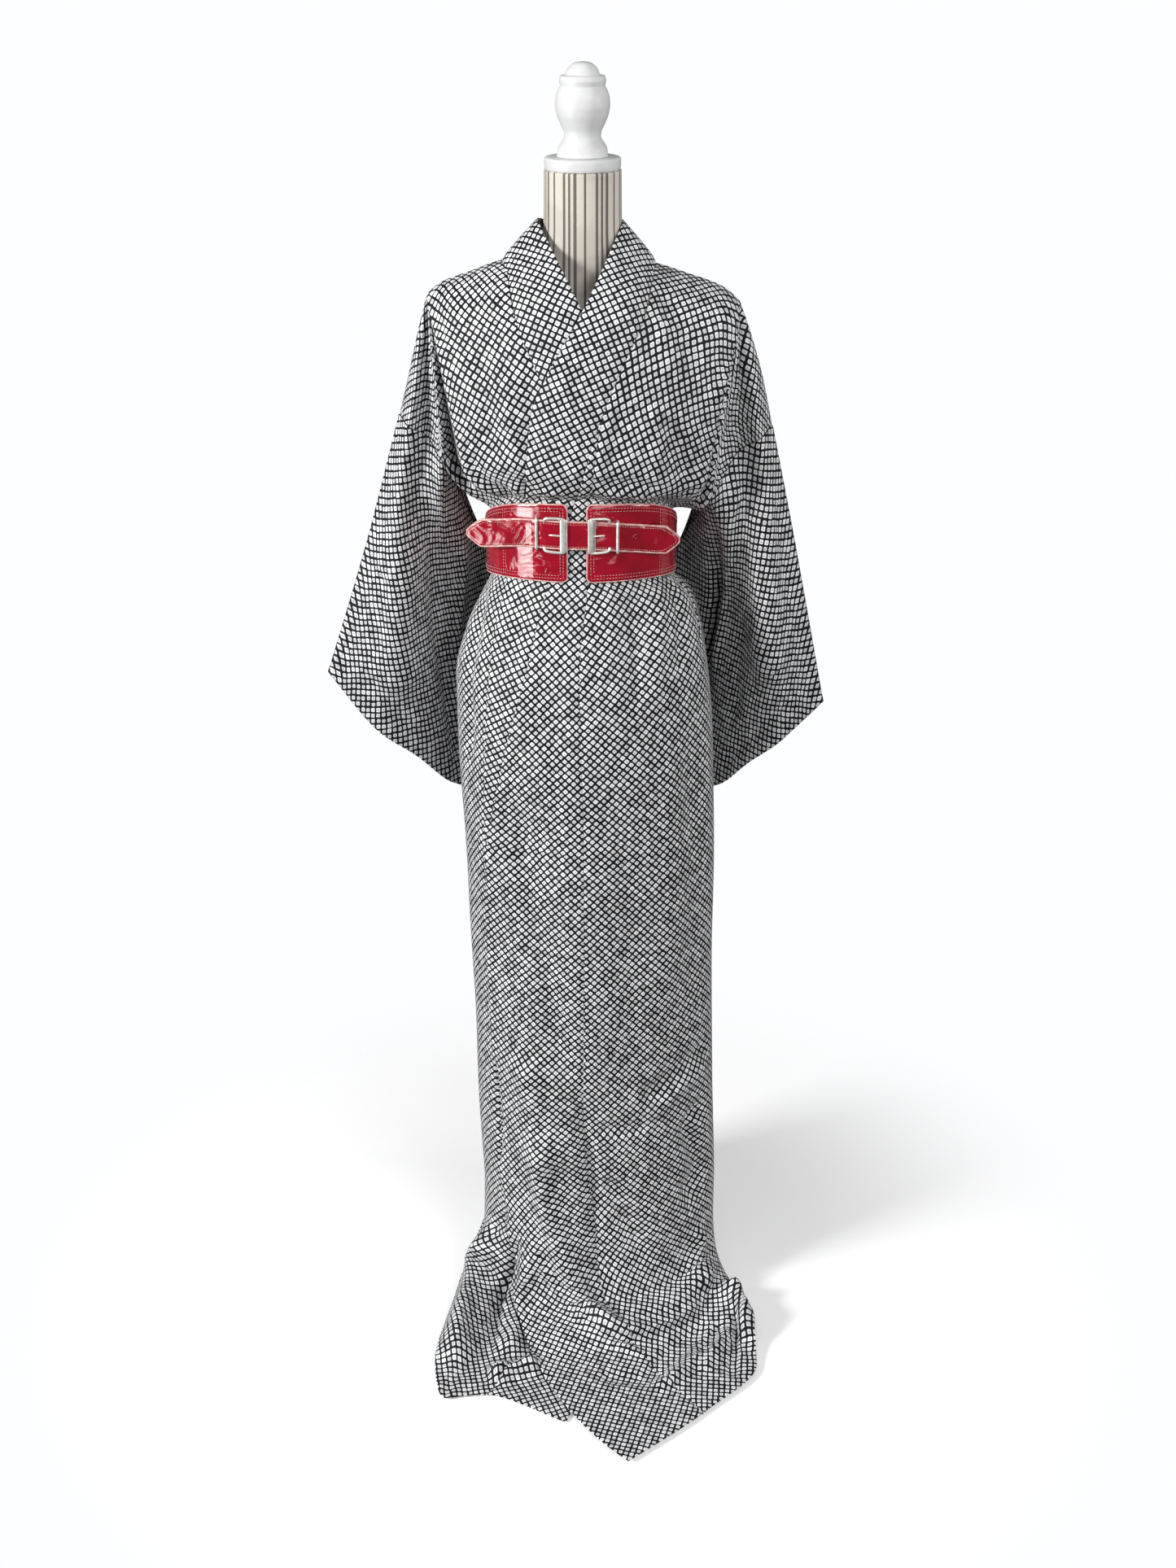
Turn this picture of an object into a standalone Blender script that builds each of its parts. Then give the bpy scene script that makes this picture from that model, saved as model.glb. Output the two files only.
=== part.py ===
"""Komon kimono with a wide leather belt, worn on a limbless dress form that stands on a round base.

+X is the wearer's left, -Y is the front and +Z is up. The origin lies on the floor, on the form's axis.

Every piece of cloth lies on one drape surface. The surface is a loft through named rows: the shoulder ridge,
the armhole row, the belt's two edges, rings down the skirt, and the hem that pools on the floor. A point of it
has a place across (0 on the centre line, 1 on the sleeve seam or side seam) and a row number down.
"""

import math

import bmesh
import bpy
import numpy as np

# Driving dimensions, in metres
WALL = 0.0013
COLLAR_WALL = 0.0018
GAP = 0.0003
LAYER = 0.0042
BELT_WALL = 0.0028
STRAP_WALL = 0.0026
STRAP_WIDTH = 0.032
STRAP_ENDS = (-0.136, 0.113)
BELT_GAP = (-0.0185, 0.0050)
BELT_LOW = (1.031, 1.018)
BELT_HIGH = (1.124, 1.084)
BUCKLE_X = (-0.0330, 0.0190)
BUCKLE_SIZE = (0.026, 0.042, 0.0035)
KEEPER_X = (-0.0540, 0.0405)
SHOULDER_SPAN = 0.175
BODY_SPAN = 0.31
ARMHOLE = 0.20
NECK_RADIUS = 0.0435
BASE_RADIUS = 0.130
BASE_THICKNESS = 0.020
POLE_RADIUS = 0.016

STRAP_Z = 1.0885
STRAP_LEAVES = (-0.066, 0.062)
STRAP_STRAIGHT = 0.75
BELT_LIFT = LAYER + 0.5 * COLLAR_WALL + 0.0005 + 0.5 * BELT_WALL
STRAP_LIFT = BELT_LIFT + 0.5 * BELT_WALL + 0.0006 + 0.5 * STRAP_WALL
BUCKLE_LIFT = STRAP_LIFT + 0.5 * STRAP_WALL - 0.0002 + 0.5 * BUCKLE_SIZE[2]

# Rows of the drape surface, counted from the shoulder ridge
ROW_ARMHOLE = 1.0
ROW_BLOUSE = 1.5
ROW_BELT_TOP = 2.0
ROW_SKIRT_END = 4.0
TIP = SHOULDER_SPAN / BODY_SPAN

# Shoulder ridge on each side: place across, x, y, z
RIDGE_RIGHT = (
    (0.00, 0.000, -0.0500, 1.394),
    (0.16, 0.050, -0.0460, 1.393),
    (0.29, 0.0925, 0.0000, 1.385),
    (0.42, 0.128, 0.0000, 1.3735),
    (0.52, 0.162, 0.0000, 1.361),
    (TIP, 0.1785, 0.0000, 1.347),
)
RIDGE_LEFT = (
    (0.00, 0.000, -0.0500, 1.394),
    (0.16, 0.050, -0.0460, 1.392),
    (0.29, 0.0850, 0.0000, 1.382),
    (0.42, 0.122, 0.0000, 1.3690),
    (0.52, 0.159, 0.0000, 1.355),
    (TIP, 0.1795, 0.0000, 1.339),
)
SHOULDER_BOW = 0.004

# Back neckline, where the collar meets the back: place across, share of the way to the ridge, y, z
BACK_NECK = (
    (0.00, 0.00, 0.0660, 1.366),
    (0.16, 0.56, 0.0520, 1.374),
    (0.29, 1.00, 0.0000, 0.000),
)

# Outer rim of the cloth that hangs from each shoulder tip, fanned round the tip from the sleeve's fold line
# down to the chest: angle in the cut (degrees), x, y front, z front, y back, z back
RIM_COLUMNS = ("angle", "x", "front_y", "front_z", "back_y", "back_z")
RIM_LEFT = (
    (0.0, 0.223, 0.000, 1.196, 0.000, 1.196),
    (20.0, 0.205, -0.033, 1.186, 0.030, 1.186),
    (38.0, 0.183, -0.014, 1.168, 0.020, 1.172),
    (56.0, 0.150, -0.041, 1.120, 0.046, 1.140),
    (72.0, 0.140, -0.024, 1.130, 0.044, 1.150),
    (90.0, 0.139, -0.066, 1.150, 0.072, 1.160),
)
RIM_RIGHT = (
    (0.0, 0.2155, 0.000, 1.209, 0.000, 1.209),
    (20.0, 0.201, -0.032, 1.200, 0.030, 1.199),
    (38.0, 0.184, -0.014, 1.187, 0.020, 1.184),
    (56.0, 0.163, -0.040, 1.163, 0.046, 1.165),
    (72.0, 0.150, -0.018, 1.163, 0.044, 1.163),
    (90.0, 0.140, -0.066, 1.165, 0.072, 1.165),
)

# Rings below the armhole, as under-layer mid surfaces: row, height in front, height at the side, half width
# on the wearer's left and right, depth in front and behind
RING_COLUMNS = ("row", "front_z", "side_z", "left", "right", "front", "back")
RINGS = (
    (1.00, 1.165, 1.160, 0.1400, 0.1400, 0.1040, 0.1020),
    (1.50, 1.142, 1.118, 0.1310, 0.1290, 0.0960, 0.0960),
    (2.00, 1.128, 1.089, 0.1045, 0.1090, 0.0850, 0.0860),
    (3.00, 1.027, 1.014, 0.1045, 0.1090, 0.0850, 0.0860),
    (3.05, 0.996, 0.990, 0.1290, 0.1210, 0.0930, 0.0980),
    (3.12, 0.945, 0.943, 0.1450, 0.1430, 0.1060, 0.1140),
    (3.20, 0.885, 0.885, 0.1550, 0.1570, 0.1180, 0.1260),
    (3.30, 0.800, 0.800, 0.1630, 0.1560, 0.1220, 0.1320),
    (3.45, 0.660, 0.660, 0.1670, 0.1520, 0.1220, 0.1350),
    (3.70, 0.420, 0.420, 0.1710, 0.1450, 0.1250, 0.1380),
    (3.90, 0.230, 0.230, 0.1790, 0.1410, 0.1290, 0.1430),
    (4.00, 0.140, 0.140, 0.1815, 0.1380, 0.1330, 0.1470),
)

WAIST = dict(zip(RING_COLUMNS, RINGS[3]))
ROUNDNESS = 0.92

# Seam and edge lines of the two fronts: height, then x of the free edge and of the collar's seam on the over
# (wearer's left) front, and on the under (right) front, mirrored
COLLAR_COLUMNS = ("z", "over_edge", "over_seam", "under_edge", "under_seam")
COLLAR_LINES = (
    (1.400, 0.031, 0.086, 0.031, 0.089),
    (1.342, 0.000, 0.070, 0.000, 0.078),
    (1.278, -0.037, 0.041, -0.037, 0.052),
    (1.232, -0.057, 0.022, -0.057, 0.030),
    (1.188, -0.062, 0.009, -0.064, 0.012),
    (1.124, -0.065, -0.009, -0.068, -0.009),
    (1.024, -0.087, -0.040, -0.087, -0.040),
    (0.937, -0.107, -0.062, -0.107, -0.062),
    (0.840, -0.114, -0.087, -0.112, -0.087),
    (0.750, -0.116, -0.105, -0.114, -0.105),
    (0.660, -0.116, -0.1145, -0.115, -0.1135),
    (0.475, -0.119, -0.119, -0.117, -0.117),
    (0.373, -0.118, -0.118, -0.116, -0.116),
    (0.207, -0.109, -0.109, -0.109, -0.109),
    (0.140, -0.100, -0.100, -0.100, -0.100),
)
COLLAR_END = 0.690
OKUMI_TOP = 1.185
OKUMI_SEAM = (
    (1.400, 0.086),
    (1.232, 0.0225),
    (1.163, 0.012),
    (1.042, 0.007),
    (0.916, -0.004),
    (0.700, 0.001),
    (0.327, 0.000),
    (0.242, 0.005),
    (0.140, 0.016),
)

# Collar round the neck, past the shoulder: seam x, y, z and free edge x, y, z (positive side)
COLLAR_NECK = (
    (0.000, 0.0680, 1.3690, 0.000, 0.0560, 1.4120),
    (0.027, 0.0640, 1.3720, 0.023, 0.0520, 1.4150),
    (0.054, 0.0520, 1.3780, 0.043, 0.0340, 1.4240),
    (0.080, 0.0260, 1.3835, 0.0510, 0.0120, 1.4290),
    (0.092, 0.0000, 1.3860, 0.0510, -0.0080, 1.4290),
)
COLLAR_LEFT_SHARE = 0.91

# Hem on the floor, round each half from the front corner to the centre back: where the column starts across,
# hem x and y, and the point that bends the way there
HEM_OVER = (
    ("corner", 0.056, -0.422, -0.062, -0.318),
    ("okumi_seam", 0.153, -0.337, 0.075, -0.235),
    ("front_a", 0.227, -0.249, 0.165, -0.165),
    ("front_b", 0.2285, -0.170, 0.182, -0.110),
    ("side", 0.1830, -0.042, 0.180, -0.020),
    ("back_a", 0.170, 0.070, 0.168, 0.050),
    ("back_b", 0.110, 0.225, 0.120, 0.170),
    ("centre_back", 0.0008, 0.280, 0.0008, 0.220),
)
HEM_UNDER = (
    ("corner", -0.022, -0.351, 0.020, -0.230),
    ("okumi_seam", -0.124, -0.301, -0.070, -0.220),
    ("front_a", -0.178, -0.309, -0.130, -0.190),
    ("front_b", -0.194, -0.238, -0.162, -0.140),
    ("side", -0.172, -0.095, -0.155, -0.050),
    ("back_a", -0.144, 0.075, -0.143, 0.055),
    ("back_b", -0.100, 0.225, -0.110, 0.170),
    ("centre_back", -0.0008, 0.280, -0.0008, 0.220),
)

# Height of the pooled cloth: reach from the skirt to the hem, then the height at the named columns
POOL_COLUMNS = (
    "reach", "corner", "okumi_seam", "front_a", "front_b", "side", "back_a", "back_b", "centre_back",
)
POOL_OVER = (
    (0.00, 0.140, 0.140, 0.140, 0.140, 0.140, 0.140, 0.140, 0.140),
    (0.02, 0.094, 0.096, 0.098, 0.105, 0.122, 0.090, 0.092, 0.092),
    (0.06, 0.046, 0.058, 0.066, 0.078, 0.104, 0.055, 0.050, 0.050),
    (0.14, 0.027, 0.036, 0.042, 0.056, 0.084, 0.034, 0.028, 0.030),
    (0.26, 0.014, 0.034, 0.040, 0.048, 0.066, 0.024, 0.024, 0.030),
    (0.40, 0.0095, 0.014, 0.016, 0.036, 0.050, 0.016, 0.010, 0.010),
    (0.62, 0.0080, 0.0085, 0.012, 0.028, 0.034, 0.010, 0.006, 0.006),
    (1.00, 0.0055, 0.0055, 0.007, 0.020, 0.016, 0.006, 0.004, 0.004),
)
POOL_UNDER = (
    (0.00, 0.140, 0.140, 0.140, 0.140, 0.140, 0.140, 0.140, 0.140),
    (0.02, 0.082, 0.082, 0.090, 0.094, 0.092, 0.090, 0.092, 0.092),
    (0.06, 0.034, 0.034, 0.052, 0.056, 0.056, 0.052, 0.050, 0.050),
    (0.14, 0.010, 0.012, 0.024, 0.034, 0.034, 0.028, 0.028, 0.030),
    (0.26, 0.0045, 0.006, 0.018, 0.024, 0.022, 0.020, 0.024, 0.030),
    (0.40, 0.0035, 0.004, 0.014, 0.018, 0.016, 0.012, 0.010, 0.010),
    (0.62, 0.0030, 0.0032, 0.008, 0.012, 0.011, 0.008, 0.006, 0.006),
    (1.00, 0.0025, 0.0028, 0.004, 0.006, 0.006, 0.005, 0.004, 0.004),
)

# Sleeve sections along the width of the sleeve, front layer, from the fold line to the bottom seam. Each row
# is a share of the width from the armhole to the cuff; x, y, z at six places down the drop
SLEEVE_DROPS = (0.0, 0.16, 0.31, 0.43, 0.73, 1.0)
SLEEVE_RIGHT = (
    (0.45, ((0.262, 0.014, 1.050), (0.230, -0.012, 1.012), (0.200, 0.014, 0.982), (0.176, 0.050, 0.945),
            (0.124, 0.130, 0.868), (0.068, 0.172, 0.812))),
    (1.00, ((0.321, 0.030, 0.872), (0.267, 0.030, 0.797), (0.214, 0.052, 0.746), (0.174, 0.088, 0.694),
            (0.106, 0.156, 0.650), (0.048, 0.188, 0.640))),
)
SLEEVE_LEFT = (
    (0.45, ((0.260, 0.014, 1.035), (0.229, -0.014, 0.996), (0.200, 0.014, 0.966), (0.182, 0.052, 0.930),
            (0.128, 0.134, 0.858), (0.072, 0.174, 0.802))),
    (1.00, ((0.304, 0.030, 0.832), (0.256, 0.030, 0.781), (0.212, 0.052, 0.736), (0.180, 0.090, 0.690),
            (0.108, 0.158, 0.646), (0.048, 0.190, 0.634))),
)
# Free edge of each sleeve below the armhole, on the body side: drop share, x, y, z
FURI_RIGHT = ((0.73, 0.136, 0.062, 1.060), (1.0, 0.100, 0.130, 0.968))
FURI_LEFT = ((0.73, 0.128, 0.074, 1.040), (1.0, 0.092, 0.138, 0.950))
SLEEVE_BAG = 0.030
SLEEVE_SEWN = 0.0022
SLEEVE_SEAM_GAP = 0.0021
SLEEVE_ROWS = (0.0, 0.14, 0.26, 0.42, 0.60, 0.80, 1.0)
SLEEVE_PLACES = np.array([0.43 * row for row in SLEEVE_ROWS] + [0.53, 0.63, 0.73, 0.82, 0.91, 1.0])
SLEEVE_SHARES = (0.0, 0.12, 0.25, 0.38, 0.52, 0.68, 0.84, 1.0)

# Form sections: height, half width, front depth, back depth
FORM_RINGS = (
    (0.700, 0.110, 0.080, 0.082),
    (0.720, 0.128, 0.094, 0.096),
    (0.780, 0.140, 0.104, 0.108),
    (0.850, 0.146, 0.112, 0.120),
    (0.920, 0.130, 0.100, 0.108),
    (1.000, 0.102, 0.080, 0.082),
    (1.060, 0.0995, 0.078, 0.079),
    (1.120, 0.104, 0.081, 0.082),
    (1.180, 0.122, 0.094, 0.090),
    (1.240, 0.130, 0.094, 0.090),
    (1.285, 0.142, 0.082, 0.084),
    (1.315, 0.156, 0.064, 0.066),
    (1.337, 0.159, 0.050, 0.052),
    (1.352, 0.140, 0.042, 0.044),
    (1.366, 0.108, 0.040, 0.042),
    (1.380, 0.070, 0.040, 0.043),
    (1.398, 0.051, 0.042, 0.043),
    (1.425, 0.0445, 0.0435, 0.0435),
    (1.484, NECK_RADIUS, NECK_RADIUS, NECK_RADIUS),
)

# Turned finial, as radius and height down its outer side
FINIAL = (
    (0.0000, 1.5980), (0.0090, 1.5965), (0.0165, 1.5905), (0.0200, 1.5840), (0.0245, 1.5830), (0.0260, 1.5780),
    (0.0250, 1.5725), (0.0270, 1.5690), (0.0300, 1.5600), (0.0305, 1.5520), (0.0290, 1.5430), (0.0250, 1.5330),
    (0.0210, 1.5240), (0.0205, 1.5195), (0.0225, 1.5150), (0.0255, 1.5110), (0.0275, 1.5070), (0.0280, 1.5030),
    (0.0290, 1.4983), (0.0000, 1.4983),
)
FLANGE = (
    (0.0000, 1.4980), (0.0400, 1.4980), (0.0430, 1.4960), (0.0430, 1.4880), (0.0415, 1.4843), (0.0000, 1.4843),
)

COLOURS = {
    "cloth": ((0.45, 0.46, 0.49, 1.0), 0.75, 0.0),
    "belt": ((0.45, 0.01, 0.03, 1.0), 0.12, 0.0),
    "metal": ((0.62, 0.60, 0.56, 1.0), 0.3, 1.0),
    "ticking": ((0.62, 0.57, 0.48, 1.0), 0.85, 0.0),
    "paint": ((0.86, 0.87, 0.88, 1.0), 0.4, 0.0),
}


def hermite(keys, values, at):
    """Smooth curve through values at rising keys, without overshoot; values may have several columns."""
    keys = np.asarray(keys, float)
    values = np.asarray(values, float)
    at = np.clip(np.asarray(at, float), keys[0], keys[-1])
    step = np.diff(keys)
    slope = np.diff(values, axis=0) / step.reshape(-1, *([1] * (values.ndim - 1)))
    tangent = np.empty_like(values)
    tangent[0] = slope[0]
    tangent[-1] = slope[-1]
    product = slope[:-1] * slope[1:]
    total = slope[:-1] + slope[1:]
    safe = np.where(np.abs(total) > 1e-12, total, 1.0)
    tangent[1:-1] = np.where(product > 0.0, 2.0 * product / safe, 0.0)
    i = np.clip(np.searchsorted(keys, at, side="right") - 1, 0, len(step) - 1)
    s = (at - keys[i]) / step[i]
    if values.ndim > 1:
        s = s[..., None]
        h = step[i][..., None]
    else:
        h = step[i]
    a = values[i]
    b = values[i + 1]
    return (
        a * (1 + 2 * s) * (1 - s) ** 2
        + b * s**2 * (3 - 2 * s)
        + h * tangent[i] * s * (1 - s) ** 2
        + h * tangent[i + 1] * s**2 * (s - 1)
    )


def ease(low, high, value):
    """Smooth step from 0 at low to 1 at high."""
    s = np.clip((value - low) / (high - low), 0.0, 1.0)
    return s * s * (3.0 - 2.0 * s)


def table(rows):
    """Keys and value columns of a short table."""
    data = np.array(rows, float)
    return data[:, 0], data[:, 1:]


def rim_point(angle, side, front):
    """Outer rim of the cloth hung from the shoulder tip, at an angle of the cut in degrees."""
    keys, values = table(RIM_LEFT if side > 0 else RIM_RIGHT)
    face = "front" if front else "back"
    columns = [RIM_COLUMNS.index(name) - 1 for name in ("x", face + "_y", face + "_z")]
    point = hermite(keys, values[:, columns], angle)
    point[..., 0] *= side
    return point


def ridge_point(across, side, front):
    """Point of the shoulder ridge; behind, it is the back neckline up to the collar's side seam."""
    keys, values = table(RIDGE_LEFT if side > 0 else RIDGE_RIGHT)
    point = hermite(keys, values, across)
    if not front:
        neck_keys, neck_values = table(BACK_NECK)
        neck_values[:, 0] *= values[2, 0]
        neck_values[2] = values[2]
        neck = hermite(neck_keys, neck_values, across)
        point = np.where((across < neck_keys[-1])[..., None], neck, point)
    point[..., 0] *= side
    return point


def chest_point(across, side, front):
    """Point of the armhole row between the centre line and the chest's outer edge."""
    rim = rim_point(np.full_like(across, 90.0), side, front)
    share = np.clip(across / TIP, 0.0, 1.0)
    first = dict(zip(RING_COLUMNS, RINGS[0]))
    depth = -first["front"] if front else first["back"]
    centre = np.stack([np.zeros_like(share), np.full_like(share, depth),
                       np.full_like(share, first["front_z"])], axis=-1)
    point = centre + (rim - centre) * share[..., None]
    point[..., 1] = centre[..., 1] + (rim[..., 1] - centre[..., 1]) * share**2.3
    return point


def shoulder_point(across, row, side, front):
    """Drape above the armhole row: a rounded chest, and a fan of folds hung from the shoulder tip."""
    down = np.clip(row / ROW_ARMHOLE, 0.0, 1.0)
    lift = np.sin(0.5 * math.pi * np.clip(down / 0.78, 0.0, 1.0) ** 0.62)
    chest_across = np.minimum(across, TIP)
    top = ridge_point(chest_across, side, front)
    low = chest_point(chest_across, side, front)
    chest = top + (low - top) * down[..., None]
    chest[..., 1] = top[..., 1] + (low[..., 1] - top[..., 1]) * lift
    chest[..., 2] = top[..., 2] + (low[..., 2] - top[..., 2]) * down**1.15

    out = np.maximum(across - TIP, 0.0) * BODY_SPAN
    drop = down * ARMHOLE
    angle = np.degrees(np.arctan2(drop, out))
    radius = np.hypot(out, drop)
    limit_out = BODY_SPAN - SHOULDER_SPAN
    cosine = np.maximum(np.cos(np.radians(angle)), 1e-9)
    sine = np.maximum(np.sin(np.radians(angle)), 1e-9)
    limit = np.minimum(limit_out / cosine, ARMHOLE / sine)
    share = np.clip(radius / limit, 0.0, 1.0)
    tip = ridge_point(np.full_like(across, TIP), side, front)
    rim = rim_point(angle, side, front)
    fan_lift = np.sin(0.5 * math.pi * np.clip(share / 0.78, 0.0, 1.0) ** 0.62)
    steep = ease(40.0, 90.0, angle)
    fan = tip + (rim - tip) * share[..., None]
    if side > 0:
        fan[..., 0] += SHOULDER_BOW * np.sin(math.pi * share) * (1.0 - ease(0.0, 40.0, angle))
    fan[..., 1] = tip[..., 1] + (rim[..., 1] - tip[..., 1]) * (share + (fan_lift - share) * steep)
    fan[..., 2] = tip[..., 2] + (rim[..., 2] - tip[..., 2]) * (share + (share**1.15 - share) * steep)
    return np.where((across > TIP)[..., None], fan, chest)


def front_share(turn):
    """Share of a height that belongs to the front, from the cosine of the angle from the front."""
    return 1.0 - (1.0 - turn) ** 1.5


def ring_point(across, row, side, front):
    """Point of the rings from the armhole row to the end of the skirt."""
    keys, values = table(RINGS)
    ring = dict(zip(RING_COLUMNS[1:], np.moveaxis(hermite(keys, values, row), -1, 0)))
    width = ring["left"] if side > 0 else ring["right"]
    depth = -ring["front"] if front else ring["back"]
    angle = across * 0.5 * math.pi
    turn = np.cos(angle)
    x = side * width * np.sin(angle)
    y = depth * np.sign(turn) * np.abs(turn) ** ROUNDNESS
    z = ring["side_z"] + front_share(turn) * (ring["front_z"] - ring["side_z"]) * (1.0 if front else 0.0)
    return np.stack([x, y, z], axis=-1)


def armhole_row(across, side, front):
    """The armhole row itself: chest, valley and the lower end of the sleeve's seam."""
    return shoulder_point(across, np.full_like(across, ROW_ARMHOLE), side, front)


def drape_point(across, row, front=True):
    """Point of the drape surface of the inner layer; a negative place is the wearer's right."""
    across, row = np.broadcast_arrays(np.asarray(across, float), np.asarray(row, float))
    result = np.zeros(across.shape + (3,))
    for side in (-1.0, 1.0):
        place = np.abs(across)
        above = shoulder_point(place, row, side, front)
        below = ring_point(place, np.maximum(row, ROW_ARMHOLE), side, front)
        share = ease(ROW_ARMHOLE, ROW_BELT_TOP, row)[..., None]
        start = armhole_row(place, side, front)
        ring_start = ring_point(place, np.full_like(row, ROW_ARMHOLE), side, front)
        between = below + (start - ring_start) * (1.0 - share)
        point = np.where((row < ROW_ARMHOLE)[..., None], above, between)
        result = np.where(((across < 0) == (side < 0))[..., None], point, result)
    return result


def drape(across, row, front=True, lift=0.0):
    """Drape surface moved outward along its normal by lift."""
    across, row = np.broadcast_arrays(np.asarray(across, float), np.asarray(row, float))
    point = drape_point(across, row, front)
    small = 1e-3
    along = drape_point(across + small, row, front) - drape_point(across - small, row, front)
    inner = np.clip(row, 0.05, ROW_SKIRT_END - small)
    down = drape_point(across, inner + small, front) - drape_point(across, inner - small, front)
    normal = np.cross(along, down)
    normal /= np.maximum(np.linalg.norm(normal, axis=-1, keepdims=True), 1e-12)
    if front:
        normal = -normal
    return point + normal * np.asarray(lift, float)[..., None]


def line_x(name, z):
    """X of a collar line or of the okumi seam at a height, for the over front; the caller mirrors it."""
    if name == "okumi":
        keys, values = table(OKUMI_SEAM)
        return hermite(keys[::-1], values[::-1, 0], z)
    keys, values = table(COLLAR_LINES)
    return hermite(keys[::-1], values[::-1, COLLAR_COLUMNS.index(name) - 1], z)


def place_of_line(name, row, side):
    """Place across where a line crosses a row, signed in world terms, for one front."""
    samples = np.linspace(-0.95, 0.95, 1601) * side
    points = drape_point(samples, np.full_like(samples, row))
    miss = side * points[:, 0] - line_x(name, points[:, 2])
    crossing = np.nonzero((miss[:-1] <= 0.0) & (miss[1:] > 0.0))[0]
    i = crossing[-1]
    share = miss[i] / (miss[i] - miss[i + 1])
    return samples[i] + (samples[i + 1] - samples[i]) * share


def front_lift(across, row, side):
    """Outward offset of one front: the over front lies one layer out, except at its ridge and side."""
    if side < 0:
        return np.zeros(np.broadcast(across, row).shape)
    near_ridge = ease(0.02, 0.22, row)
    near_side = 1.0 - ease(0.72, 0.97, np.asarray(across, float))
    return LAYER * near_ridge * near_side


ROWS_ABOVE = (0.0, 0.06, 0.14, 0.26, 0.42, 0.60, 0.80, 1.0)
ROWS_WAIST = (1.25, 1.5, 1.75, 2.0, 2.5, 3.0)
ROWS_SKIRT = (3.05, 3.12, 3.20, 3.30, 3.45, 3.62, 3.80, 4.0)
ROWS = ROWS_ABOVE + ROWS_WAIST + ROWS_SKIRT
POOL_STEPS = tuple(row[0] for row in POOL_OVER[1:])


def pool_point(start, column, side, reach):
    """Point of the pooled hem: from the skirt's last ring to the hem, in the named hem columns."""
    hem = HEM_OVER if side > 0 else HEM_UNDER
    heights = POOL_OVER if side > 0 else POOL_UNDER
    keys = np.arange(len(POOL_COLUMNS) - 1, dtype=float)
    end_x, end_y, way_x, way_y = np.array([row[1:] for row in hem], float).T
    end = np.array([hermite(keys, end_x, column), hermite(keys, end_y, column)]).T
    way = np.array([hermite(keys, way_x, column), hermite(keys, way_y, column)]).T
    flat = (1 - reach) ** 2 * start[:, :2] + 2 * reach * (1 - reach) * way + reach**2 * end
    reach_keys, height_values = table(heights)
    profile = hermite(reach_keys, height_values, np.full(1, reach))[0]
    z = hermite(keys, profile, column)
    return np.concatenate([flat, z[:, None]], axis=1)


def patch_rows(bounds, columns, side, front, lift, hem_range):
    """Rows of points between two bounding lines, down the drape and out over the floor."""
    rows = []
    for row in ROWS:
        span = bounds(row)
        if span is None:
            continue
        across = span[0] + (span[1] - span[0]) * columns
        rows.append(drape(across, row, front, lift(across, row)))
    start = rows[-1]
    column = hem_range[0] + (hem_range[1] - hem_range[0]) * columns
    for reach in POOL_STEPS:
        rows.append(pool_point(start, column, side, reach))
    return rows


def body_grids(side):
    """Front and back grids of one body panel, which share the shoulder ridge."""
    inset = 0.5 * GAP / 0.1
    front_columns = np.array((0.0, 0.13, 0.26, 0.387, 0.46, 0.54, 0.62, 0.71, 0.84, 1.0))
    neck_share = 0.29

    def front_bounds(row):
        if row == 0.0:
            return side * neck_share, side * 1.0
        z_here = drape_point(np.array([side * 0.1]), np.array([row]))[0, 2]
        tag = "over" if side > 0 else "under"
        name = "okumi" if z_here < OKUMI_TOP else tag + "_seam"
        inner = place_of_line(name, row, side) + side * inset
        outer = 1.0 if row < ROW_BLOUSE else 1.0 - inset
        return inner, side * outer

    def warp(across, row):
        return front_lift(np.abs(across) * np.sign(side * across), row, side)

    front = patch_rows(front_bounds, front_columns, side, True, warp, (1.0 + 0.002, 4.0 - 0.002))

    back_places = side * (neck_share + (1.0 - neck_share) * front_columns)
    neck_places = side * np.array((0.0, 0.10, 0.20))
    neck_places[0] = side * inset
    places = np.concatenate([neck_places, back_places])
    shares = (places * side - inset) / (1.0 - inset)

    def back_bounds(row):
        outer = 1.0 if row < ROW_BLOUSE else 1.0 - inset
        return side * inset, side * outer

    def no_lift(across, row):
        return np.zeros_like(across)

    back = patch_rows(back_bounds, shares, side, False, no_lift, (7.0, 4.0 + 0.002))
    back[0][len(neck_places):] = front[0]
    return front, back


def okumi_rows(side):
    """Rows of one overlap, from its tip under the collar to the hem."""
    columns = np.linspace(0.0, 1.0, 5)
    inset = 0.5 * GAP / 0.1
    tag = "over" if side > 0 else "under"

    def bounds(row):
        z_here = drape_point(np.array([side * 0.1]), np.array([row]))[0, 2]
        if z_here >= OKUMI_TOP:
            return None
        outer = tag + ("_seam" if z_here > COLLAR_END else "_edge")
        seam = place_of_line("okumi", row, side) - side * inset
        edge = place_of_line(outer, row, side)
        if z_here > COLLAR_END:
            edge += side * inset
        return edge, seam

    def warp(across, row):
        return front_lift(np.abs(across) * np.sign(side * across), row, side)

    return patch_rows(bounds, columns, side, True, warp, (0.0, 1.0 - 0.003))


def collar_rows(side):
    """Cross rows of the collar on one front, from the shoulder down to its end."""
    tag = "over" if side > 0 else "under"
    inset = 0.5 * GAP / 0.1
    rows = []
    for row in ROWS[1:]:
        z_here = drape_point(np.array([side * 0.1]), np.array([row]))[0, 2]
        if z_here < COLLAR_END:
            break
        seam = place_of_line(tag + "_seam", row, side) - side * inset
        edge = place_of_line(tag + "_edge", row, side)
        across = np.linspace(seam, edge, 4)
        rows.append(drape(across, row, True, front_lift(np.abs(across) * np.sign(side * across), row, side)))
    return rows


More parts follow.
